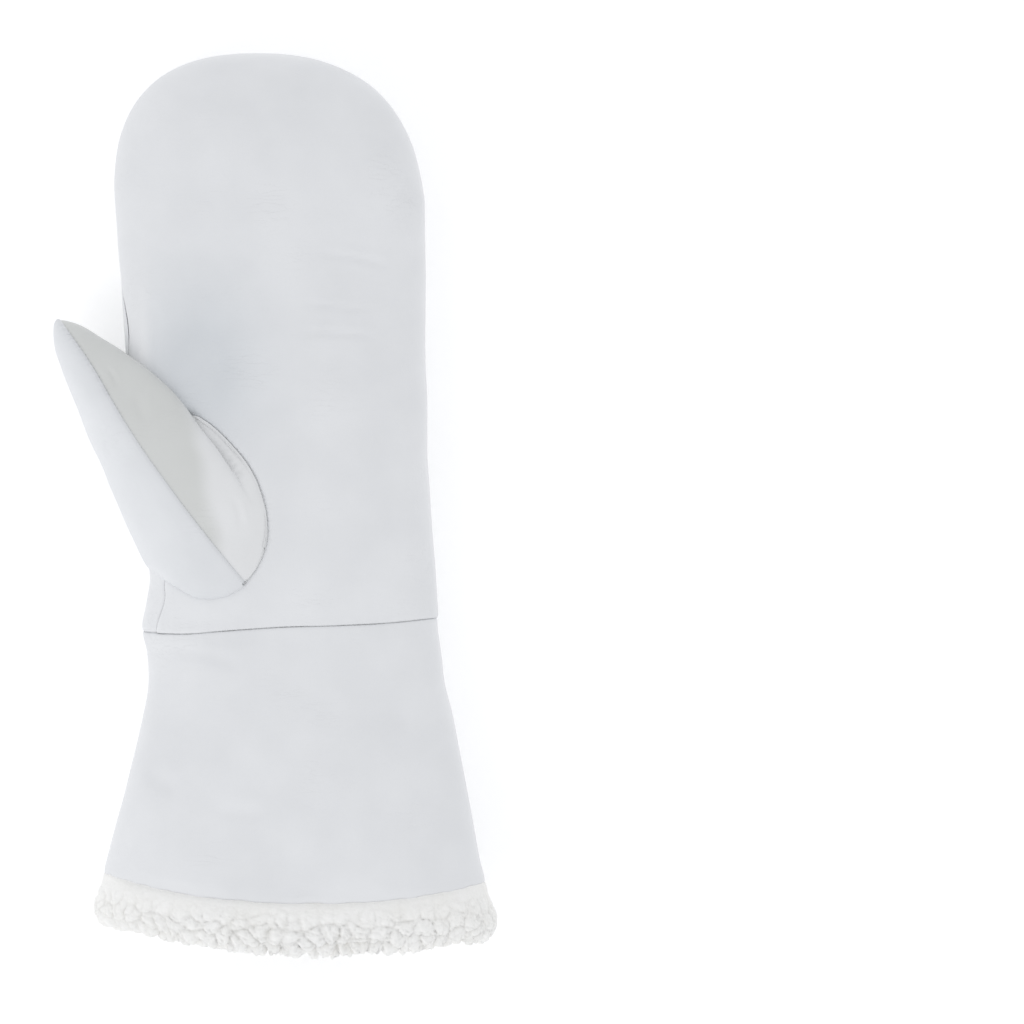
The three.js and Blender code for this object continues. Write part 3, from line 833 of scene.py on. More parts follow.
distance, angle = hand_panel("little_side", "thumb_side", 0, 64, 160, 184)
palm = tube(distance, angle)
palm_out = grid_normals(palm)
on_top = ease(np.sin(angle), 0.12, 0.35)
palm = np.where(on_top[..., None] > 0.9, snap_to_opening(palm, 0.52), palm)
x, y = palm[..., 0], palm[..., 1]
to_little = arc_length(palm, 1)
to_thumb = to_little[:, -1:] - to_little
to_wrist = arc_length(palm, 0)[-1:] - arc_length(palm, 0)
to_opening = from_opening(x, y)
calm = 1 - np.exp(-((to_opening / 9) ** 2)) * on_top
lie = 0.5 * soft_noise(x, y, 70, 3) + 0.16 * soft_noise(x, y, 24, 4)
lie += strokes(x, y, CREASES) + seam_puckers(to_wrist, x, 5)
groove = np.where(to_opening > 0, roll_in(to_opening), -SEAM_DEPTH - 0.9 * np.abs(to_opening))
palm_lift = lie * calm * ease(distance, 2, 25) + on_top * np.clip(groove, -3, 1)
palm_lift += roll_in(to_little) + roll_in(to_thumb) + roll_in(to_wrist)
palm_points = palm + palm_out * palm_lift[..., None]
cut_out = (to_opening < -1.3) & (on_top > 0.5) | inside_thumb(palm, 1.5) & (to_opening < -1.3)
kept = ~(cut_out[:-1, :-1] & cut_out[1:, 1:])
palm_faces = grid_faces(*palm.shape[:2])[kept]
palm_panel = make_piece("palm_leather", palm_points, palm_faces, white_nappa, LEATHER, merge=CLOSE)
x, y, z = pattern_places(palm_panel)
# painted shade on the palm beside the thumb, where the thumb's shade falls: strongest left of the middle,
# stopping short of the palm's thumb-side edge, on its upper side only
shade_paint = 1.2 * np.exp(-(((x + 32) / 27) ** 2) - ((y - 55) / 38) ** 2)
store(palm_panel, "painted_shade", shade_paint * ease(x, -57, -51.5) * ease(z, 22, 28))
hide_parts("palm_panel")

# %% [markdown]
# ## Back panel
# The back is the other half of the tube, from the thumb's side round underneath to the little finger's
# side. The mitten lies on it, so its middle is flat on the floor, with a few faint diagonal folds.

# %% Back panel
distance, angle = hand_panel("thumb_side", "little_side", np.pi, 50, 100, 130)
back = tube(distance, angle)
back_out = grid_normals(back)
x, y = back[..., 0], back[..., 1]
to_thumb = arc_length(back, 1)
to_little = to_thumb[:, -1:] - to_thumb
to_wrist = arc_length(back, 0)[-1:] - arc_length(back, 0)
lie = strokes(x, y, BACK_FOLDS) - 0.12 * (1 + soft_noise(x, y, 40, 11)) + seam_puckers(to_wrist, x, 12)
back_lift = lie * ease(distance, 2, 25)
back_lift += roll_in(to_little) + roll_in(to_thumb) + roll_in(to_wrist)
back_points = back + back_out * back_lift[..., None]
back_points[..., 2] = np.maximum(back_points[..., 2], 0.0)
back_faces = grid_faces(*back.shape[:2]).reshape(-1, 4)
back_panel = make_piece("back_leather", back_points, back_faces, white_nappa, LEATHER, merge=CLOSE)
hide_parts("back_panel")

# %% [markdown]
# ## Cuff
# The cuff is a flared gauntlet, sewn round the wrist and open at its mouth. One grid goes all the way
# round, so it has no side seam to close. Its lower edge waves a little, as cut leather over thick
# pile does.

# %% Cuff
CUFF_ROWS, CUFF_COLUMNS = 112, 236
turn = np.linspace(0, 2 * np.pi, CUFF_COLUMNS, endpoint=False)[None, :]
start = wrist_distance(turn)
hem_wave = 0.18 * np.sin(turn * 23 + 2 * np.sin(turn * 5)) + 0.14 * np.sin(turn * 41)
stop = MOUTH_FROM_TIP + hem_wave
t = np.linspace(0, 1, CUFF_ROWS)[:, None]
down = t * 0.5 + (1 - np.cos(t * np.pi)) / 2 * 0.5
distance = start + (stop - start) * down
cuff = tube(distance, np.repeat(turn, CUFF_ROWS, 0))
cuff_out = -grid_normals(cuff, wrap=True)
x, y = cuff[..., 0], cuff[..., 1]
from_wrist = arc_length(cuff, 0)
to_hem = from_wrist[-1:] - from_wrist
over = ease(np.sin(turn), -0.1, 0.3)
lie = 0.55 * soft_noise(x, y, 60, 21) + 0.2 * soft_noise(x, y, 22, 22) + strokes(x, y, CREASES)
lie = lie * (0.25 + 0.75 * over) * ease(from_wrist, 0, 8) * ease(to_hem, 0, 6)
cuff_lift = lie + seam_puckers(from_wrist, x + 40 * (np.sin(turn) < 0), 23)
cuff_lift += roll_in(from_wrist) - 0.35 * np.exp(-to_hem / 1.2)
middle_row = cuff[CUFF_ROWS // 2]
from_centre = middle_row - middle_row.mean(0)
cuff_out *= np.sign(np.sum(cuff_out[CUFF_ROWS // 2] * from_centre, -1).mean())
cuff_points = cuff + cuff_out * cuff_lift[..., None]
cuff_points[..., 2] = np.maximum(cuff_points[..., 2], 0.0)
cuff_faces = grid_faces(CUFF_ROWS, CUFF_COLUMNS, wrap=True).reshape(-1, 4)
cuff_piece = make_piece("cuff_leather", cuff_points, cuff_faces, white_nappa, LEATHER)
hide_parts("cuff")

# %% [markdown]
# ## Thumb panels
# Each section of the thumb is an ellipse in four quarters. The outer panel has the two quarters on the
# far side of the front seam. The inner panel has the other two, but beside the palm its upper quarter
# bulges out over a fold, tucks under in a small lip, and comes out again as a narrow strip that reaches
# the seam. That fold is the deepest shadow of the whole mitten.


# %% Inner and outer thumb panels
GATHER_DEPTH, GATHER_PITCH = 0.9, 3.1


def quarter(across_top, height_top, across_side, height_side, turn):
    """Quarter of an ellipse from its top (turn 0) to its side (turn a quarter circle)."""
    across = across_top + (across_side - across_top) * np.sin(turn)
    return across, height_side + (height_top - height_side) * np.cos(turn)


def thumb_rows(count):
    """Places along the thumb, close together at the foot and at the tip."""
    return THUMB_START + (THUMB_END - THUMB_START) * toward_ends(count, 0.9)[:, None]


def lower_quarter(side, side_height, under, turn):
    """Quarter of an ellipse from the side down to the back seam, in the middle of the underside."""
    return side * np.cos(turn), side_height - (side_height - under) * np.sin(turn)


def to_points(along, across, height):
    """Points of the thumb in the mitten's frame."""
    px, py = thumb_place(along, across)
    return np.stack(np.broadcast_arrays(px, py, height), axis=-1)


def inner_thumb(rows, dome, lip, strip, lower):
    """Grid of the inner panel, mixed from three shapes of its section. Folded: dome from the front
    seam to the fold, lip under the fold, strip out to the joint, lower quarter to the back seam. At
    the foot: one low vault from the front seam to the joint, h = joint + (front - joint) * (1 -
    share^2)^0.9. Free of the palm: dome, and all the rest in the lower quarter. Returns the joint's
    column too."""
    along = thumb_rows(rows)
    seam, fold, joint, _ = thumb_widths(along)
    front, inner_z, _, under = thumb_heights(along)
    rising = ease(along, 20, 46)
    free = ease(along, 68, 77)
    fold_z = (1 - free) * (palm_height(*thumb_place(along, fold)) + 2.4) + free * inner_z
    joint_z = (1 - free) * palm_height(*thumb_place(along, joint)) + free * inner_z
    lip_in, lip_down = 1.7 * ease(along, 28, 52), 2.2 * ease(along, 22, 46)
    quarter_turn = np.pi / 2
    lip_t = np.linspace(0, 1, lip + 1)[1:]
    strip_t = toward_ends(strip + 1, 0.5)[1:]
    lower_t = toward_ends(lower + 1, 0.5)[1:] * quarter_turn
    dome_t = np.linspace(0, 1, dome)
    dome_turn = quarter_turn * (0.2 * dome_t + 0.8 * dome_t**2)
    dome_across, dome_height = quarter(seam, front, fold, fold_z, dome_turn)
    tucked = fold - lip_in * (1 - np.cos(lip_t * quarter_turn))
    tucked_z = fold_z - lip_down * np.sin(lip_t * quarter_turn)
    start, start_z = fold - lip_in, fold_z - lip_down
    gathers = np.sin(2 * np.pi * along / GATHER_PITCH + 2 * np.sin(along / 3)) * (1 - strip_t) ** 1.5
    gathers = gathers * GATHER_DEPTH * ease(along, 28, 40) * (1 - ease(along, 48, 60))
    strip_across = start + (joint - start) * strip_t
    strip_height = start_z * (1 - strip_t) + joint_z * strip_t + (0.35 + gathers) * np.sin(np.pi * strip_t)
    lower_across, lower_height = lower_quarter(joint, joint_z, under, lower_t)
    folded_across = np.concatenate([dome_across, tucked, strip_across], axis=1)
    folded_height = np.concatenate([dome_height, tucked_z, strip_height], axis=1)
    rest = joint - fold
    plain_across = np.concatenate(
        [dome_across, fold + rest * 0.25 * lip_t, fold + rest * (0.25 + 0.75 * strip_t)], axis=1
    )
    share = np.clip((plain_across - seam) / (joint - seam), 0, 1)
    plain_height = joint_z + (front - joint_z) * (1 - share**2) ** 0.9
    across = np.concatenate([plain_across + (folded_across - plain_across) * rising, lower_across], axis=1)
    height = np.concatenate([plain_height + (folded_height - plain_height) * rising, lower_height], axis=1)
    under_t = np.linspace(0, 1, lip + strip + lower + 1)[1:] * quarter_turn
    free_across, free_height = lower_quarter(fold, fold_z, under, under_t)
    free_across = np.concatenate([dome_across, free_across], axis=1)
    free_height = np.concatenate([dome_height, free_height], axis=1)
    across = across + (free_across - across) * free
    height = height + (free_height - height) * free
    return along, to_points(along, across, height), dome + lip + strip - 1


def outer_thumb(rows, upper, lower):
    """Grid of the outer panel: upper quarter from the front seam to the outer edge, lower quarter
    from there to the back seam. Returns the points and the outer edge's column."""
    along = thumb_rows(rows)
    seam, _, _, outer = thumb_widths(along)
    front, _, outer_z, under = thumb_heights(along)
    free = ease(along, 15, 27)
    edge_z = (1 - free) * palm_height(*thumb_place(along, outer)) + free * outer_z
    a1, h1 = quarter(seam, front, outer, edge_z, toward_ends(upper, 0.8) * np.pi / 2)
    a2, h2 = lower_quarter(outer, edge_z, under, toward_ends(lower + 1, 0.5)[1:] * np.pi / 2)
    across = np.concatenate([a1, a2], axis=1)
    height = np.concatenate([h1, h2], axis=1)
    return along, to_points(along, across, height), upper - 1


def inside_tube(points, inset):
    """True where a point lies inside the hand's tube by more than inset."""
    px, py, pz = points[..., 0], points[..., 1], points[..., 2]
    s = tube_section(TIP_Y - py, inset)
    over = pz > s["middle"]
    power = np.where(over, PALM_POWER, BACK_POWER)
    wide = np.abs(px - s["centre"]) / np.maximum(s["half"], 1e-3)
    tall = np.abs(pz - s["middle"]) / np.maximum(np.where(over, s["up"], s["down"]), 1e-3)
    return wide**power + tall**power < 1


def stitch_pulls(along, from_seam):
    """Small wrinkles square to the front seam towards the tip, where the stitches pull."""
    pulls = 0.5 + 0.5 * np.cos(2 * np.pi * along / STITCH_PITCH)
    reach = 0.25 + 0.75 * ease(along, 78, 100) * (1 - ease(along, 128, 134))
    return -pulls * reach * (1.5 * np.exp(-from_seam / 0.6) + 0.25 * np.exp(-from_seam / 2.4))


def finish_thumb(name, along, points, joint_column, joined_until, seed, leather):
    """Turns a thumb grid's seams in, adds the leather's unevenness, and leaves out what is hidden
    inside the hand. joined_until says how far along the thumb its edge is sewn to the palm."""
    out = grid_normals(points)
    if np.mean(out[points.shape[0] // 2, 5, 2]) < 0:
        out = -out
    from_front = arc_length(points, 1)
    from_back = from_front[:, -1:] - from_front
    from_joint = np.abs(from_front - from_front[:, joint_column : joint_column + 1])
    joined = 1 - ease(along, joined_until - 3, joined_until)
    lift = 0.22 * soft_noise(points[..., 0], points[..., 1], 26, seed)
    lift = lift + strokes(points[..., 0], points[..., 1], THUMB_CREASES)
    lift = lift * ease(from_front, 1, 8) * thumb_closing(along)
    lift = lift + roll_in(from_front, 2.5, 0.8) * thumb_closing(along) + stitch_pulls(along, from_front)
    lift = lift + roll_in(from_joint, 0.6, 0.7) * joined
    lift = lift + roll_in(from_back, 0.7, 1.4) * thumb_closing(along)
    moved = points + out * lift[..., None]
    hidden = inside_tube(points, 2.2)
    faces = grid_faces(*points.shape[:2])
    hidden = hidden[:-1, :-1] & hidden[1:, 1:] & hidden[:-1, 1:] & hidden[1:, :-1]
    faces = faces[~hidden]
    return make_piece(name, moved, faces, leather, LEATHER, merge=CLOSE)


along, points, column = inner_thumb(230, 46, 8, 16, 22)
thumb_inner = finish_thumb("thumb_inner_leather", along, points, column, 72.0, 31, shaded_nappa)
# Painted shade on the inner panel, which faces away from the lamp: spreading from the front seam across the
# panel, further across towards the tip, and mostly not on the strip beyond the fold.
x, y, _ = pattern_places(thumb_inner)
east, north = x - THUMB_FOOT[0], y - THUMB_FOOT[1]
up_thumb = north * np.cos(THUMB_ANGLE) - east * np.sin(THUMB_ANGLE)
over_thumb = east * np.cos(THUMB_ANGLE) + north * np.sin(THUMB_ANGLE)
share = over_thumb / np.maximum(THUMB_LINES.read("fold", up_thumb), 1.0)
edge = (up_thumb - 18) / 51 + 0.05 * soft_noise(x, y, 22, 33)
inner_panel_shade = (1 - ease(share, edge - 0.24, edge + 0.24)) * (1 - 0.8 * ease(share, 1.0, 1.06))
store(thumb_inner, "painted_shade", inner_panel_shade)
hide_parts("thumb_inner_panel")
front_line = points[:, 0]

along, points, column = outer_thumb(230, 46, 30)
thumb_outer = finish_thumb("thumb_outer_leather", along, points, column, 24.0, 32, white_nappa)
# painted shade: a constant 0.3 of the grey tint over the whole outer panel
store(thumb_outer, "painted_shade", np.full(len(thumb_outer.data.vertices), 0.3))
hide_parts("thumb_outer_panel")

# %% [markdown]
# ## Pile band
# The lining's pile is turned out over the leather's edge as a soft roll. Its section is a closed curve,
# carried round the mouth. Sheepskin is not even: it parts into tufts with narrow gaps between them, and
# they are boldest along the lower edge. Cells with a chance middle give that pattern, in three sizes
# on top of each other, as a cauliflower grows.

# %% Tufts
BAND_HEIGHT, BAND_PROUD = 22.4, 4.6
BAND_SECTION = np.array(
    [
        # along, out, tuft
        (-0.07, -0.38, 0.0),
        (0.0, -0.12, 0.0),
        (0.07, 0.3, 0.25),
        (0.2, 0.62, 0.5),
        (0.38, 0.82, 0.8),
        (0.57, 0.88, 1.0),
        (0.74, 0.76, 1.0),
        (0.88, 0.36, 1.0),
        (0.95, -0.4, 1.0),
        (0.92, -1.1, 0.9),
        (0.74, -1.55, 0.7),
        (0.4, -1.68, 0.5),
        (-0.05, -1.62, 0.2),
    ]
)


def closed_curve(rows, count):
    """Points along a closed smooth curve through the rows: the same cubic as in a table, with the
    last row followed by the first."""
    place = np.linspace(0, len(rows), count, endpoint=False)
    i = place.astype(int)
    t = (place - i)[:, None]
    before, a = rows[i - 1], rows[i]
    b, after = rows[(i + 1) % len(rows)], rows[(i + 2) % len(rows)]
    return 0.5 * (
        2 * a
        + (b - before) * t
        + (2 * before - 5 * a + 4 * b - after) * t**2
        + (3 * a - before - 3 * b + after) * t**3
    )


def tuft_caps(u, v, size, seed, girth=None):
    """Height, 0 to 1, of rounded tufts about size wide on a sheet with coordinates u and v. Middles
    sit by chance in the squares of a net; b, the second nearest distance less the nearest, is 0 in
    the gaps, and the height is the round pillow (1 - (1 - b)^2)^0.75. With a girth, the net closes on
    itself round the mouth."""
    around = int(round(girth / size)) if girth else 4096
    step = girth / around if girth else size
    gi, gj = np.floor(u / step).astype(int), np.floor(v / size).astype(int)
    rng = np.random.default_rng(seed)
    shift = rng.uniform(0.1, 0.9, (997, 2))
    nearest, second = np.full(u.shape, 9.0), np.full(u.shape, 9.0)
    for di in (-1, 0, 1):
        for dj in (-1, 0, 1):
            ci, cj = gi + di, gj + dj
            key = ((ci % around) * 131 + (cj + 4096) * 37) % 997
            du = (ci + shift[key, 0]) * step - u
            dv = (cj + shift[key, 1]) * size - v
            away = np.hypot(du, dv) / size
            second = np.minimum(second, np.maximum(away, nearest))
            nearest = np.minimum(nearest, away)
    gap = np.clip((second - nearest) / 0.62, 0, 1)
    return (1 - (1 - gap) ** 2) ** 0.75


# %% The band
BAND_AROUND, BAND_SECTION_POINTS = 700, 108
turn = np.linspace(0, 2 * np.pi, BAND_AROUND, endpoint=False)[:, None]
ring = closed_curve(BAND_SECTION, BAND_SECTION_POINTS)
along_out = np.repeat(ring[None], BAND_AROUND, 0)
edge_y = tube(MOUTH_FROM_TIP + 0 * turn, turn)[..., 1]
at_side = ease(np.abs(np.cos(turn)), 0.8, 0.98)
little_side = np.cos(turn) > 0
side_gain = np.where(little_side, 0.92, 0.86) * ease(along_out[..., 0], 0, 0.7)
proud = BAND_PROUD * (1 - at_side * (0.75 - side_gain))
outwards = np.where(along_out[..., 1] > 0, along_out[..., 1] * proud, along_out[..., 1] * BAND_PROUD)
band = tube(MOUTH_FROM_TIP + 0 * turn, turn, -outwards)
tall = BAND_HEIGHT * (1 + 0.11 * at_side + 0.07 * np.cos(turn))
band[..., 1] = edge_y - along_out[..., 0] * tall
middle_ring = band[:, BAND_SECTION_POINTS * 3 // 8]
rim = np.linalg.norm(np.diff(middle_ring, axis=0, append=middle_ring[:1]), axis=-1)
girth_at = np.cumsum(rim) - rim
girth = rim.sum()
band_u = np.repeat(girth_at[:, None], BAND_SECTION_POINTS, 1)
band_v = arc_length(band, 1)
band_out = grid_normals(np.concatenate([band[:, -1:], band, band[:, :1]], axis=1))[:, 1:-1]
middle = band.mean(axis=1, keepdims=True)
band_out *= np.sign(np.sum(band_out * (band - middle), -1).mean())
x = band[..., 0]
bold = 0.5 + 0.5 * np.exp(-(((x - 12) / 58) ** 2))
tuft_share = np.clip(along_out[..., 2], 0, 1)
low_edge = ease(along_out[..., 0], 0.0, 0.55)
wander_u = band_u + 1.0 * soft_noise(band_u, band_v, 16, 41) + 0.35 * soft_noise(band_u, band_v, 5, 47)
wander_v = band_v + 1.0 * soft_noise(band_u, band_v, 14, 46) + 0.35 * soft_noise(band_u, band_v, 5, 48)
BIG_TUFT, MID_TUFT, SMALL_TUFT = 7.0, 3.8, 2.1
big = tuft_caps(wander_u, wander_v, BIG_TUFT, 42, girth)
mid = tuft_caps(wander_u, wander_v, MID_TUFT, 44, girth)
small = tuft_caps(wander_u, wander_v, SMALL_TUFT, 49, girth)
relief = 1.9 * (big - 0.75) * (0.15 + 0.85 * low_edge)
relief += (0.9 * (mid - 0.75) + 0.45 * (small - 0.75)) * (0.3 + 0.7 * low_edge)
band_lift = relief * tuft_share * bold + 0.35 * soft_noise(band_u, band_v, 30, 45) * tuft_share
hang = np.exp(-(((along_out[..., 0] - 0.95) / 0.2) ** 2)) * tuft_share
band_points = band + band_out * band_lift[..., None]
band_points[..., 1] -= hang * bold * (2.8 * (big - 0.7) + 1.2 * (mid - 0.7))
band_points[..., 2] = np.maximum(band_points[..., 2], 0.0)
number = np.arange(BAND_AROUND * BAND_SECTION_POINTS).reshape(BAND_AROUND, BAND_SECTION_POINTS)
down, right = np.roll(number, -1, 0), np.roll(number, -1, 1)
band_faces = np.stack([number, right, np.roll(right, -1, 0), down], axis=-1).reshape(-1, 4)
first = band_points.reshape(-1, 3)[band_faces[1000]]
facing = np.cross(first[1] - first[0], first[3] - first[0])
if np.dot(facing, band_out.reshape(-1, 3)[band_faces[1000][0]]) < 0:
    band_faces = band_faces[:, ::-1]
band_piece = make_piece("pile_band_wool", band_points, band_faces, pile_wool)
between_tufts = 0.4 * (big - 0.75) + 0.3 * (mid - 0.75) + 0.2 * (small - 0.75)
tuft_depth = 0.6 + between_tufts * (0.2 + 0.8 * low_edge) * bold
store(band_piece, "depth", tuft_depth - 0.12 * (1 - tuft_share) * (along_out[..., 1] > 0))
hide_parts("pile_band")

# %% [markdown]
# ## Lining
# Inside, the same pile covers hand, thumb and cuff. Only the part near the mouth can be looked at, but
# the whole lining is there, hollow, as in the real mitten. Each part is one grid that faces the hollow
# and gets its thickness outwards.


# %% Lining of cuff, hand and thumb
LINING_INSET, LINING_THICK = 6.6, 2.4
THUMB_LINING_INSET, THUMB_LINING_THICK = 5.0, 2.0
CURL = 5.4


def lining_sheet(name, points, thickness, seed, keep=None):
    """A tufted sheet that faces the hollow: a grid closed on itself is raised by tuft caps towards the
    inside, and its thickness grows outwards, but stays behind the leather."""
    inward = grid_normals(points, wrap=True)
    middle = points.mean(axis=1, keepdims=True)
    inward *= -np.sign(np.sum(inward * (points - middle), -1).mean())
    u, v = arc_length(points, 1), arc_length(points, 0)
    caps = 0.7 * tuft_caps(u, v, CURL, seed) + 0.3 * tuft_caps(u, v, CURL / 2, seed + 1)
    raised = points + inward * (1.6 * (caps - 0.8))[..., None]
    rows, columns = points.shape[:2]
    faces = grid_faces(rows, columns, wrap=True)
    if keep is not None:
        faces = faces[keep[:-1, : faces.shape[1]]]
    faces = faces.reshape(-1, 4)
    middle_face = faces[len(faces) // 2]
    corner = raised.reshape(-1, 3)[middle_face]
    facing = np.cross(corner[1] - corner[0], corner[3] - corner[0])
    if np.dot(facing, inward.reshape(-1, 3)[middle_face[0]]) < 0:
        faces = faces[:, ::-1]
    piece = make_piece(name, raised, faces, pile_wool, thickness)
    store(piece, "depth", 0.25 + 0.5 * caps.ravel()[np.unique(faces)])
    return piece


LINING_ROWS, CUFF_LINING_COLUMNS = 88, 260
turn = np.linspace(0, 2 * np.pi, CUFF_LINING_COLUMNS, endpoint=False)[None, :]
t = np.linspace(0, 1, LINING_ROWS)[:, None]
start = wrist_distance(turn) + 0.2
distance = start + (MOUTH_FROM_TIP - 1.5 - start) * t
sheet = tube(distance, np.repeat(turn, LINING_ROWS, 0), LINING_INSET)
cuff_lining = lining_sheet("cuff_lining_wool", sheet, LINING_THICK, 61)
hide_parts("cuff_lining")

HAND_LINING_TIP, HAND_LINING_ARCH, HAND_LINING_COLUMNS = 7.6, 58.0, 120
turn = np.linspace(0, 2 * np.pi, HAND_LINING_COLUMNS, endpoint=False)[None, :]
rows = HAND_LINING_TIP + HAND_LINING_ARCH * (1 - np.cos(np.linspace(0.02, np.pi / 2, 26)))
t = np.linspace(0, 1, 68)[1:, None]
end = wrist_distance(turn) - 0.2
arch = np.repeat(rows[:, None], HAND_LINING_COLUMNS, 1)
distance = np.concatenate([arch, rows[-1] + (end - rows[-1]) * t])
sheet = tube(distance, np.repeat(turn, len(distance), 0), LINING_INSET)
hole = inside_thumb(sheet, 2.0) & (from_opening(sheet[..., 0], sheet[..., 1]) < -3)
hand_lining = lining_sheet("hand_lining_wool", sheet, LINING_THICK, 62, keep=~hole)
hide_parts("palm_lining", "back_lining")


def thumb_sheet(rows, columns, inset):
    """Grid round the thumb's hollow: the four quarters of its sections, drawn in by an inset."""
    t = np.linspace(0.02, 1, rows)[:, None]
    along = inset + (THUMB_END - 2 * inset) * np.sin(t * np.pi / 2)
    around = np.linspace(0, 2 * np.pi, columns, endpoint=False)[None, :]
    _, fold, _, outer = thumb_widths(along)
    front, inner_z, outer_z, under = thumb_heights(along)
    to_inner = np.sin(around) > 0
    closing = rounded_end(THUMB_END - inset - along, THUMB_ROUND, 2)
    wide = np.where(to_inner, np.maximum(fold - inset, 0.4), np.maximum(-outer - inset, 0.4)) * closing
    level = np.clip(np.where(to_inner, inner_z, outer_z), under + inset + 0.3, front - inset - 0.3)
    tall = np.where(np.cos(around) > 0, front - inset - level, level - under - inset)
    return to_points(along, np.sin(around) * wide, level + np.cos(around) * tall * closing)


sheet = thumb_sheet(64, 56, THUMB_LINING_INSET)
hidden = inside_tube(sheet, LINING_INSET)
thumb_lining = lining_sheet("thumb_lining_wool", sheet, THUMB_LINING_THICK, 63, keep=~hidden)
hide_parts("thumb_lining")

# %% [markdown]
# ## Seam stitches
# The panels are sewn face to face, so from outside only a short piece of each stitch shows down in the
# seam. They are tiny, but they give a seam its scale. Every seam is a line of points with its outward
# direction; one stitch is a short six-sided bar laid across it every few millimetres.


# %% Stitches
def evenly(line, outward, pitch):
    """Points, running directions and outward directions every pitch along a line of points."""
    step = np.linalg.norm(np.diff(line, axis=0), axis=1)
    run = np.concatenate([[0], np.cumsum(step)])
    place = np.arange(pitch / 2, run[-1], pitch)
    spot = np.stack([np.interp(place, run, line[:, k]) for k in range(3)], 1)
    out = np.stack([np.interp(place, run, outward[:, k]) for k in range(3)], 1)
    ahead = np.stack([np.interp(place + 0.3, run, line[:, k]) for k in range(3)], 1)
    behind = np.stack([np.interp(place - 0.3, run, line[:, k]) for k in range(3)], 1)
    along = ahead - behind
    along /= np.maximum(np.linalg.norm(along, axis=1, keepdims=True), 1e-9)
    return spot, along, out / np.maximum(np.linalg.norm(out, axis=1, keepdims=True), 1e-9)


STITCH_LONG, STITCH_THICK = 1.25, 0.19


def stitch_points(spot, along, out, sunk):
    """Corners of each stitch: rings of six round a short arch across the seam, low in its middle."""
    across = np.cross(out, along)
    t = np.linspace(-1, 1, 5)[None, :, None]
    arch = -sunk - 0.12 * (1 - t**2) + 0.05
    path = spot[:, None] + across[:, None] * t * STITCH_LONG / 2 + out[:, None] * arch
    path = path + along[:, None] * t * 0.3
    corner = np.arange(6) / 6 * 2 * np.pi
    swell = STITCH_THICK * np.sqrt(np.clip(1.05 - t**2 * 0.6, 0.05, 1))
    ring = (
        along[:, None, None] * np.cos(corner)[None, None, :, None]
        + out[:, None, None] * np.sin(corner)[None, None, :, None]
    )
    return path[:, :, None] + swell[..., None] * ring


def seam_line(points, out, rows=slice(None), columns=slice(None)):
    """One row or column of a grid with its outward directions."""
    return points[rows, columns].reshape(-1, 3), out[rows, columns].reshape(-1, 3)


def upward(normals, points, centre):
    """Turns directions so that they point away from a centre line."""
    away = np.sum(normals * (points - centre), -1, keepdims=True)
    return np.where(away < 0, -normals, normals)


palm_centre = np.array([0, 0, HAND_HEIGHT / 2])
side_little, side_little_out = seam_line(palm, palm_out, columns=0)
side_thumb, side_thumb_out = seam_line(palm, palm_out, columns=-1)
side_thumb_out = upward(side_thumb_out, side_thumb, palm_centre)
side_little_out = upward(side_little_out, side_little, palm_centre)
beyond_thumb = side_thumb[:, 1] > 62
beyond_thumb[:12] = False
before_thumb = side_thumb[:, 1] < -31
wrist_line, wrist_out = seam_line(cuff, cuff_out, rows=0)
joint_t = np.linspace(2.5, 71, 160)
joint_xy = np.stack(thumb_place(joint_t, THUMB_LINES.read("joint", joint_t)), 1)
joint_line = np.column_stack([joint_xy, palm_height(joint_xy[:, 0], joint_xy[:, 1])])
foot_t = np.linspace(2.0, 21, 70)
foot_xy = np.stack(thumb_place(foot_t, -THUMB_LINES.read("outer", foot_t)), 1)
foot_line = np.column_stack([foot_xy, palm_height(foot_xy[:, 0], foot_xy[:, 1])])


def straight_up(line):
    """An upward direction for every point of a line."""
    return np.zeros_like(line) + np.array([0, 0, 1.0])


seams = [
    # line, outward directions, how deep the stitches lie
    (front_line[20:-18], straight_up(front_line[20:-18]), 1.2),
    (side_little[12:-1], side_little_out[12:-1], 0.6),
    (side_thumb[beyond_thumb], side_thumb_out[beyond_thumb], 0.6),
    (side_thumb[before_thumb], side_thumb_out[before_thumb], 0.6),
    (wrist_line, wrist_out, 0.8),
    (joint_line, straight_up(joint_line), 0.65),
    (foot_line, straight_up(foot_line), 0.65),
]
made = [stitch_points(*evenly(line, out, STITCH_PITCH), sunk) for line, out, sunk in seams]
stitches = np.concatenate(made)
number = np.arange(stitches.shape[0] * 30).reshape(-1, 5, 6)
a, b = number[:, :-1], np.roll(number, -1, 2)[:, :-1]
c, d = np.roll(number, -1, 2)[:, 1:], number[:, 1:]
stitch_faces = np.stack([a, d, c, b], axis=-1).reshape(-1, 4)
seam_threads = make_piece("seam_threads", stitches, stitch_faces, white_thread)
print("stitches:", len(stitches))

# %% [markdown]
# ## Floor, light and camera
# The mitten lies on a pale floor. The light is soft: a pale surrounding gives most of it, and a large
# lamp from the lower left is low enough to model the seams. The camera looks straight down from high
# up with a long lens, so that nothing is distorted.


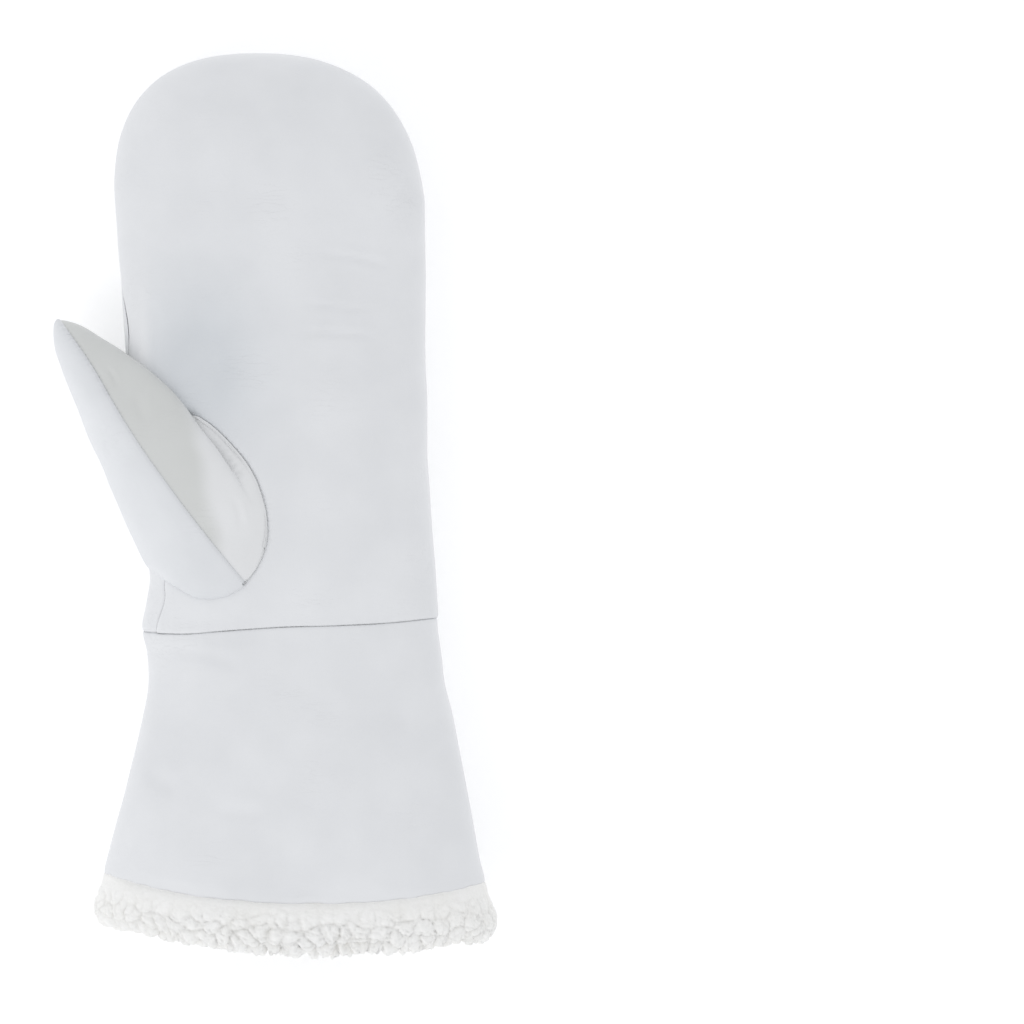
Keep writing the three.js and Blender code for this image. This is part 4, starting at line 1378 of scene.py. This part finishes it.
# %% Floor
def pale_floor():
    """A matt, nearly white floor with a very faint unevenness."""
    material, nodes, links, shader, place = new_material("pale floor")
    cloud = noise(nodes, links, place, 160, detail=2)
    colours = [(0.3, (0.93, 0.93, 0.93)), (0.7, (0.945, 0.945, 0.945))]
    links.new(ramp(nodes, links, cloud, colours), shader.inputs["Base Color"])
    links.new(bump(nodes, links, noise(nodes, links, place, 2), 0.05, 0.1), shader.inputs["Normal"])
    shader.inputs["Roughness"].default_value = 0.9
    shader.inputs["Specular IOR Level"].default_value = 0.1
    shader.inputs["Emission Color"].default_value = (1, 1, 1, 1)
    shader.inputs["Emission Strength"].default_value = 0.25
    return material


FLOOR_HALF = 3.0
floor_corners = [(FLOOR_HALF * i, FLOOR_HALF * j, 0) for i, j in ((-1, -1), (1, -1), (1, 1), (-1, 1))]
floor_mesh = bpy.data.meshes.new("floor")
floor_mesh.from_pydata(floor_corners, [], [(0, 1, 2, 3)])
floor_mesh.materials.append(pale_floor())
floor = bpy.data.objects.new("floor", floor_mesh)
bpy.context.scene.collection.objects.link(floor)


# %% Light and camera
def soft_lamp(name, place, aim, size, power):
    """A square area lamp at a place, turned to shine at aim."""
    lamp = bpy.data.lights.new(name, "AREA")
    lamp.size = size
    lamp.energy = power
    holder = bpy.data.objects.new(name, lamp)
    holder.location = place
    direction = np.array(aim) - np.array(place)
    holder.rotation_euler = Vector(direction).to_track_quat("-Z", "Y").to_euler()
    bpy.context.scene.collection.objects.link(holder)
    return holder


soft_lamp("lamp lower left", (-0.85, -0.9, 1.05), (0, 0, 0.02), 1.0, 3.3)

world = bpy.data.worlds.new("pale surrounding")
world.use_nodes = True
sky = world.node_tree.nodes["Background"]
sky.inputs["Color"].default_value = (0.97, 0.98, 1.0, 1)
sky.inputs["Strength"].default_value = 0.84
bpy.context.scene.world = world

LENS, SENSOR = 250.0, 36.0
VIEW_WIDTH = 0.431
SIGHT_HEIGHT = 0.03
camera_data = bpy.data.cameras.new("camera")
camera_data.lens = LENS
camera_data.sensor_width = SENSOR
camera_data.clip_end = 20
camera = bpy.data.objects.new("camera", camera_data)
camera.location = (0.0991, -0.0034, SIGHT_HEIGHT + LENS / SENSOR * VIEW_WIDTH)
bpy.context.scene.collection.objects.link(camera)
bpy.context.scene.camera = camera
bpy.context.scene.view_settings.view_transform = "Standard"
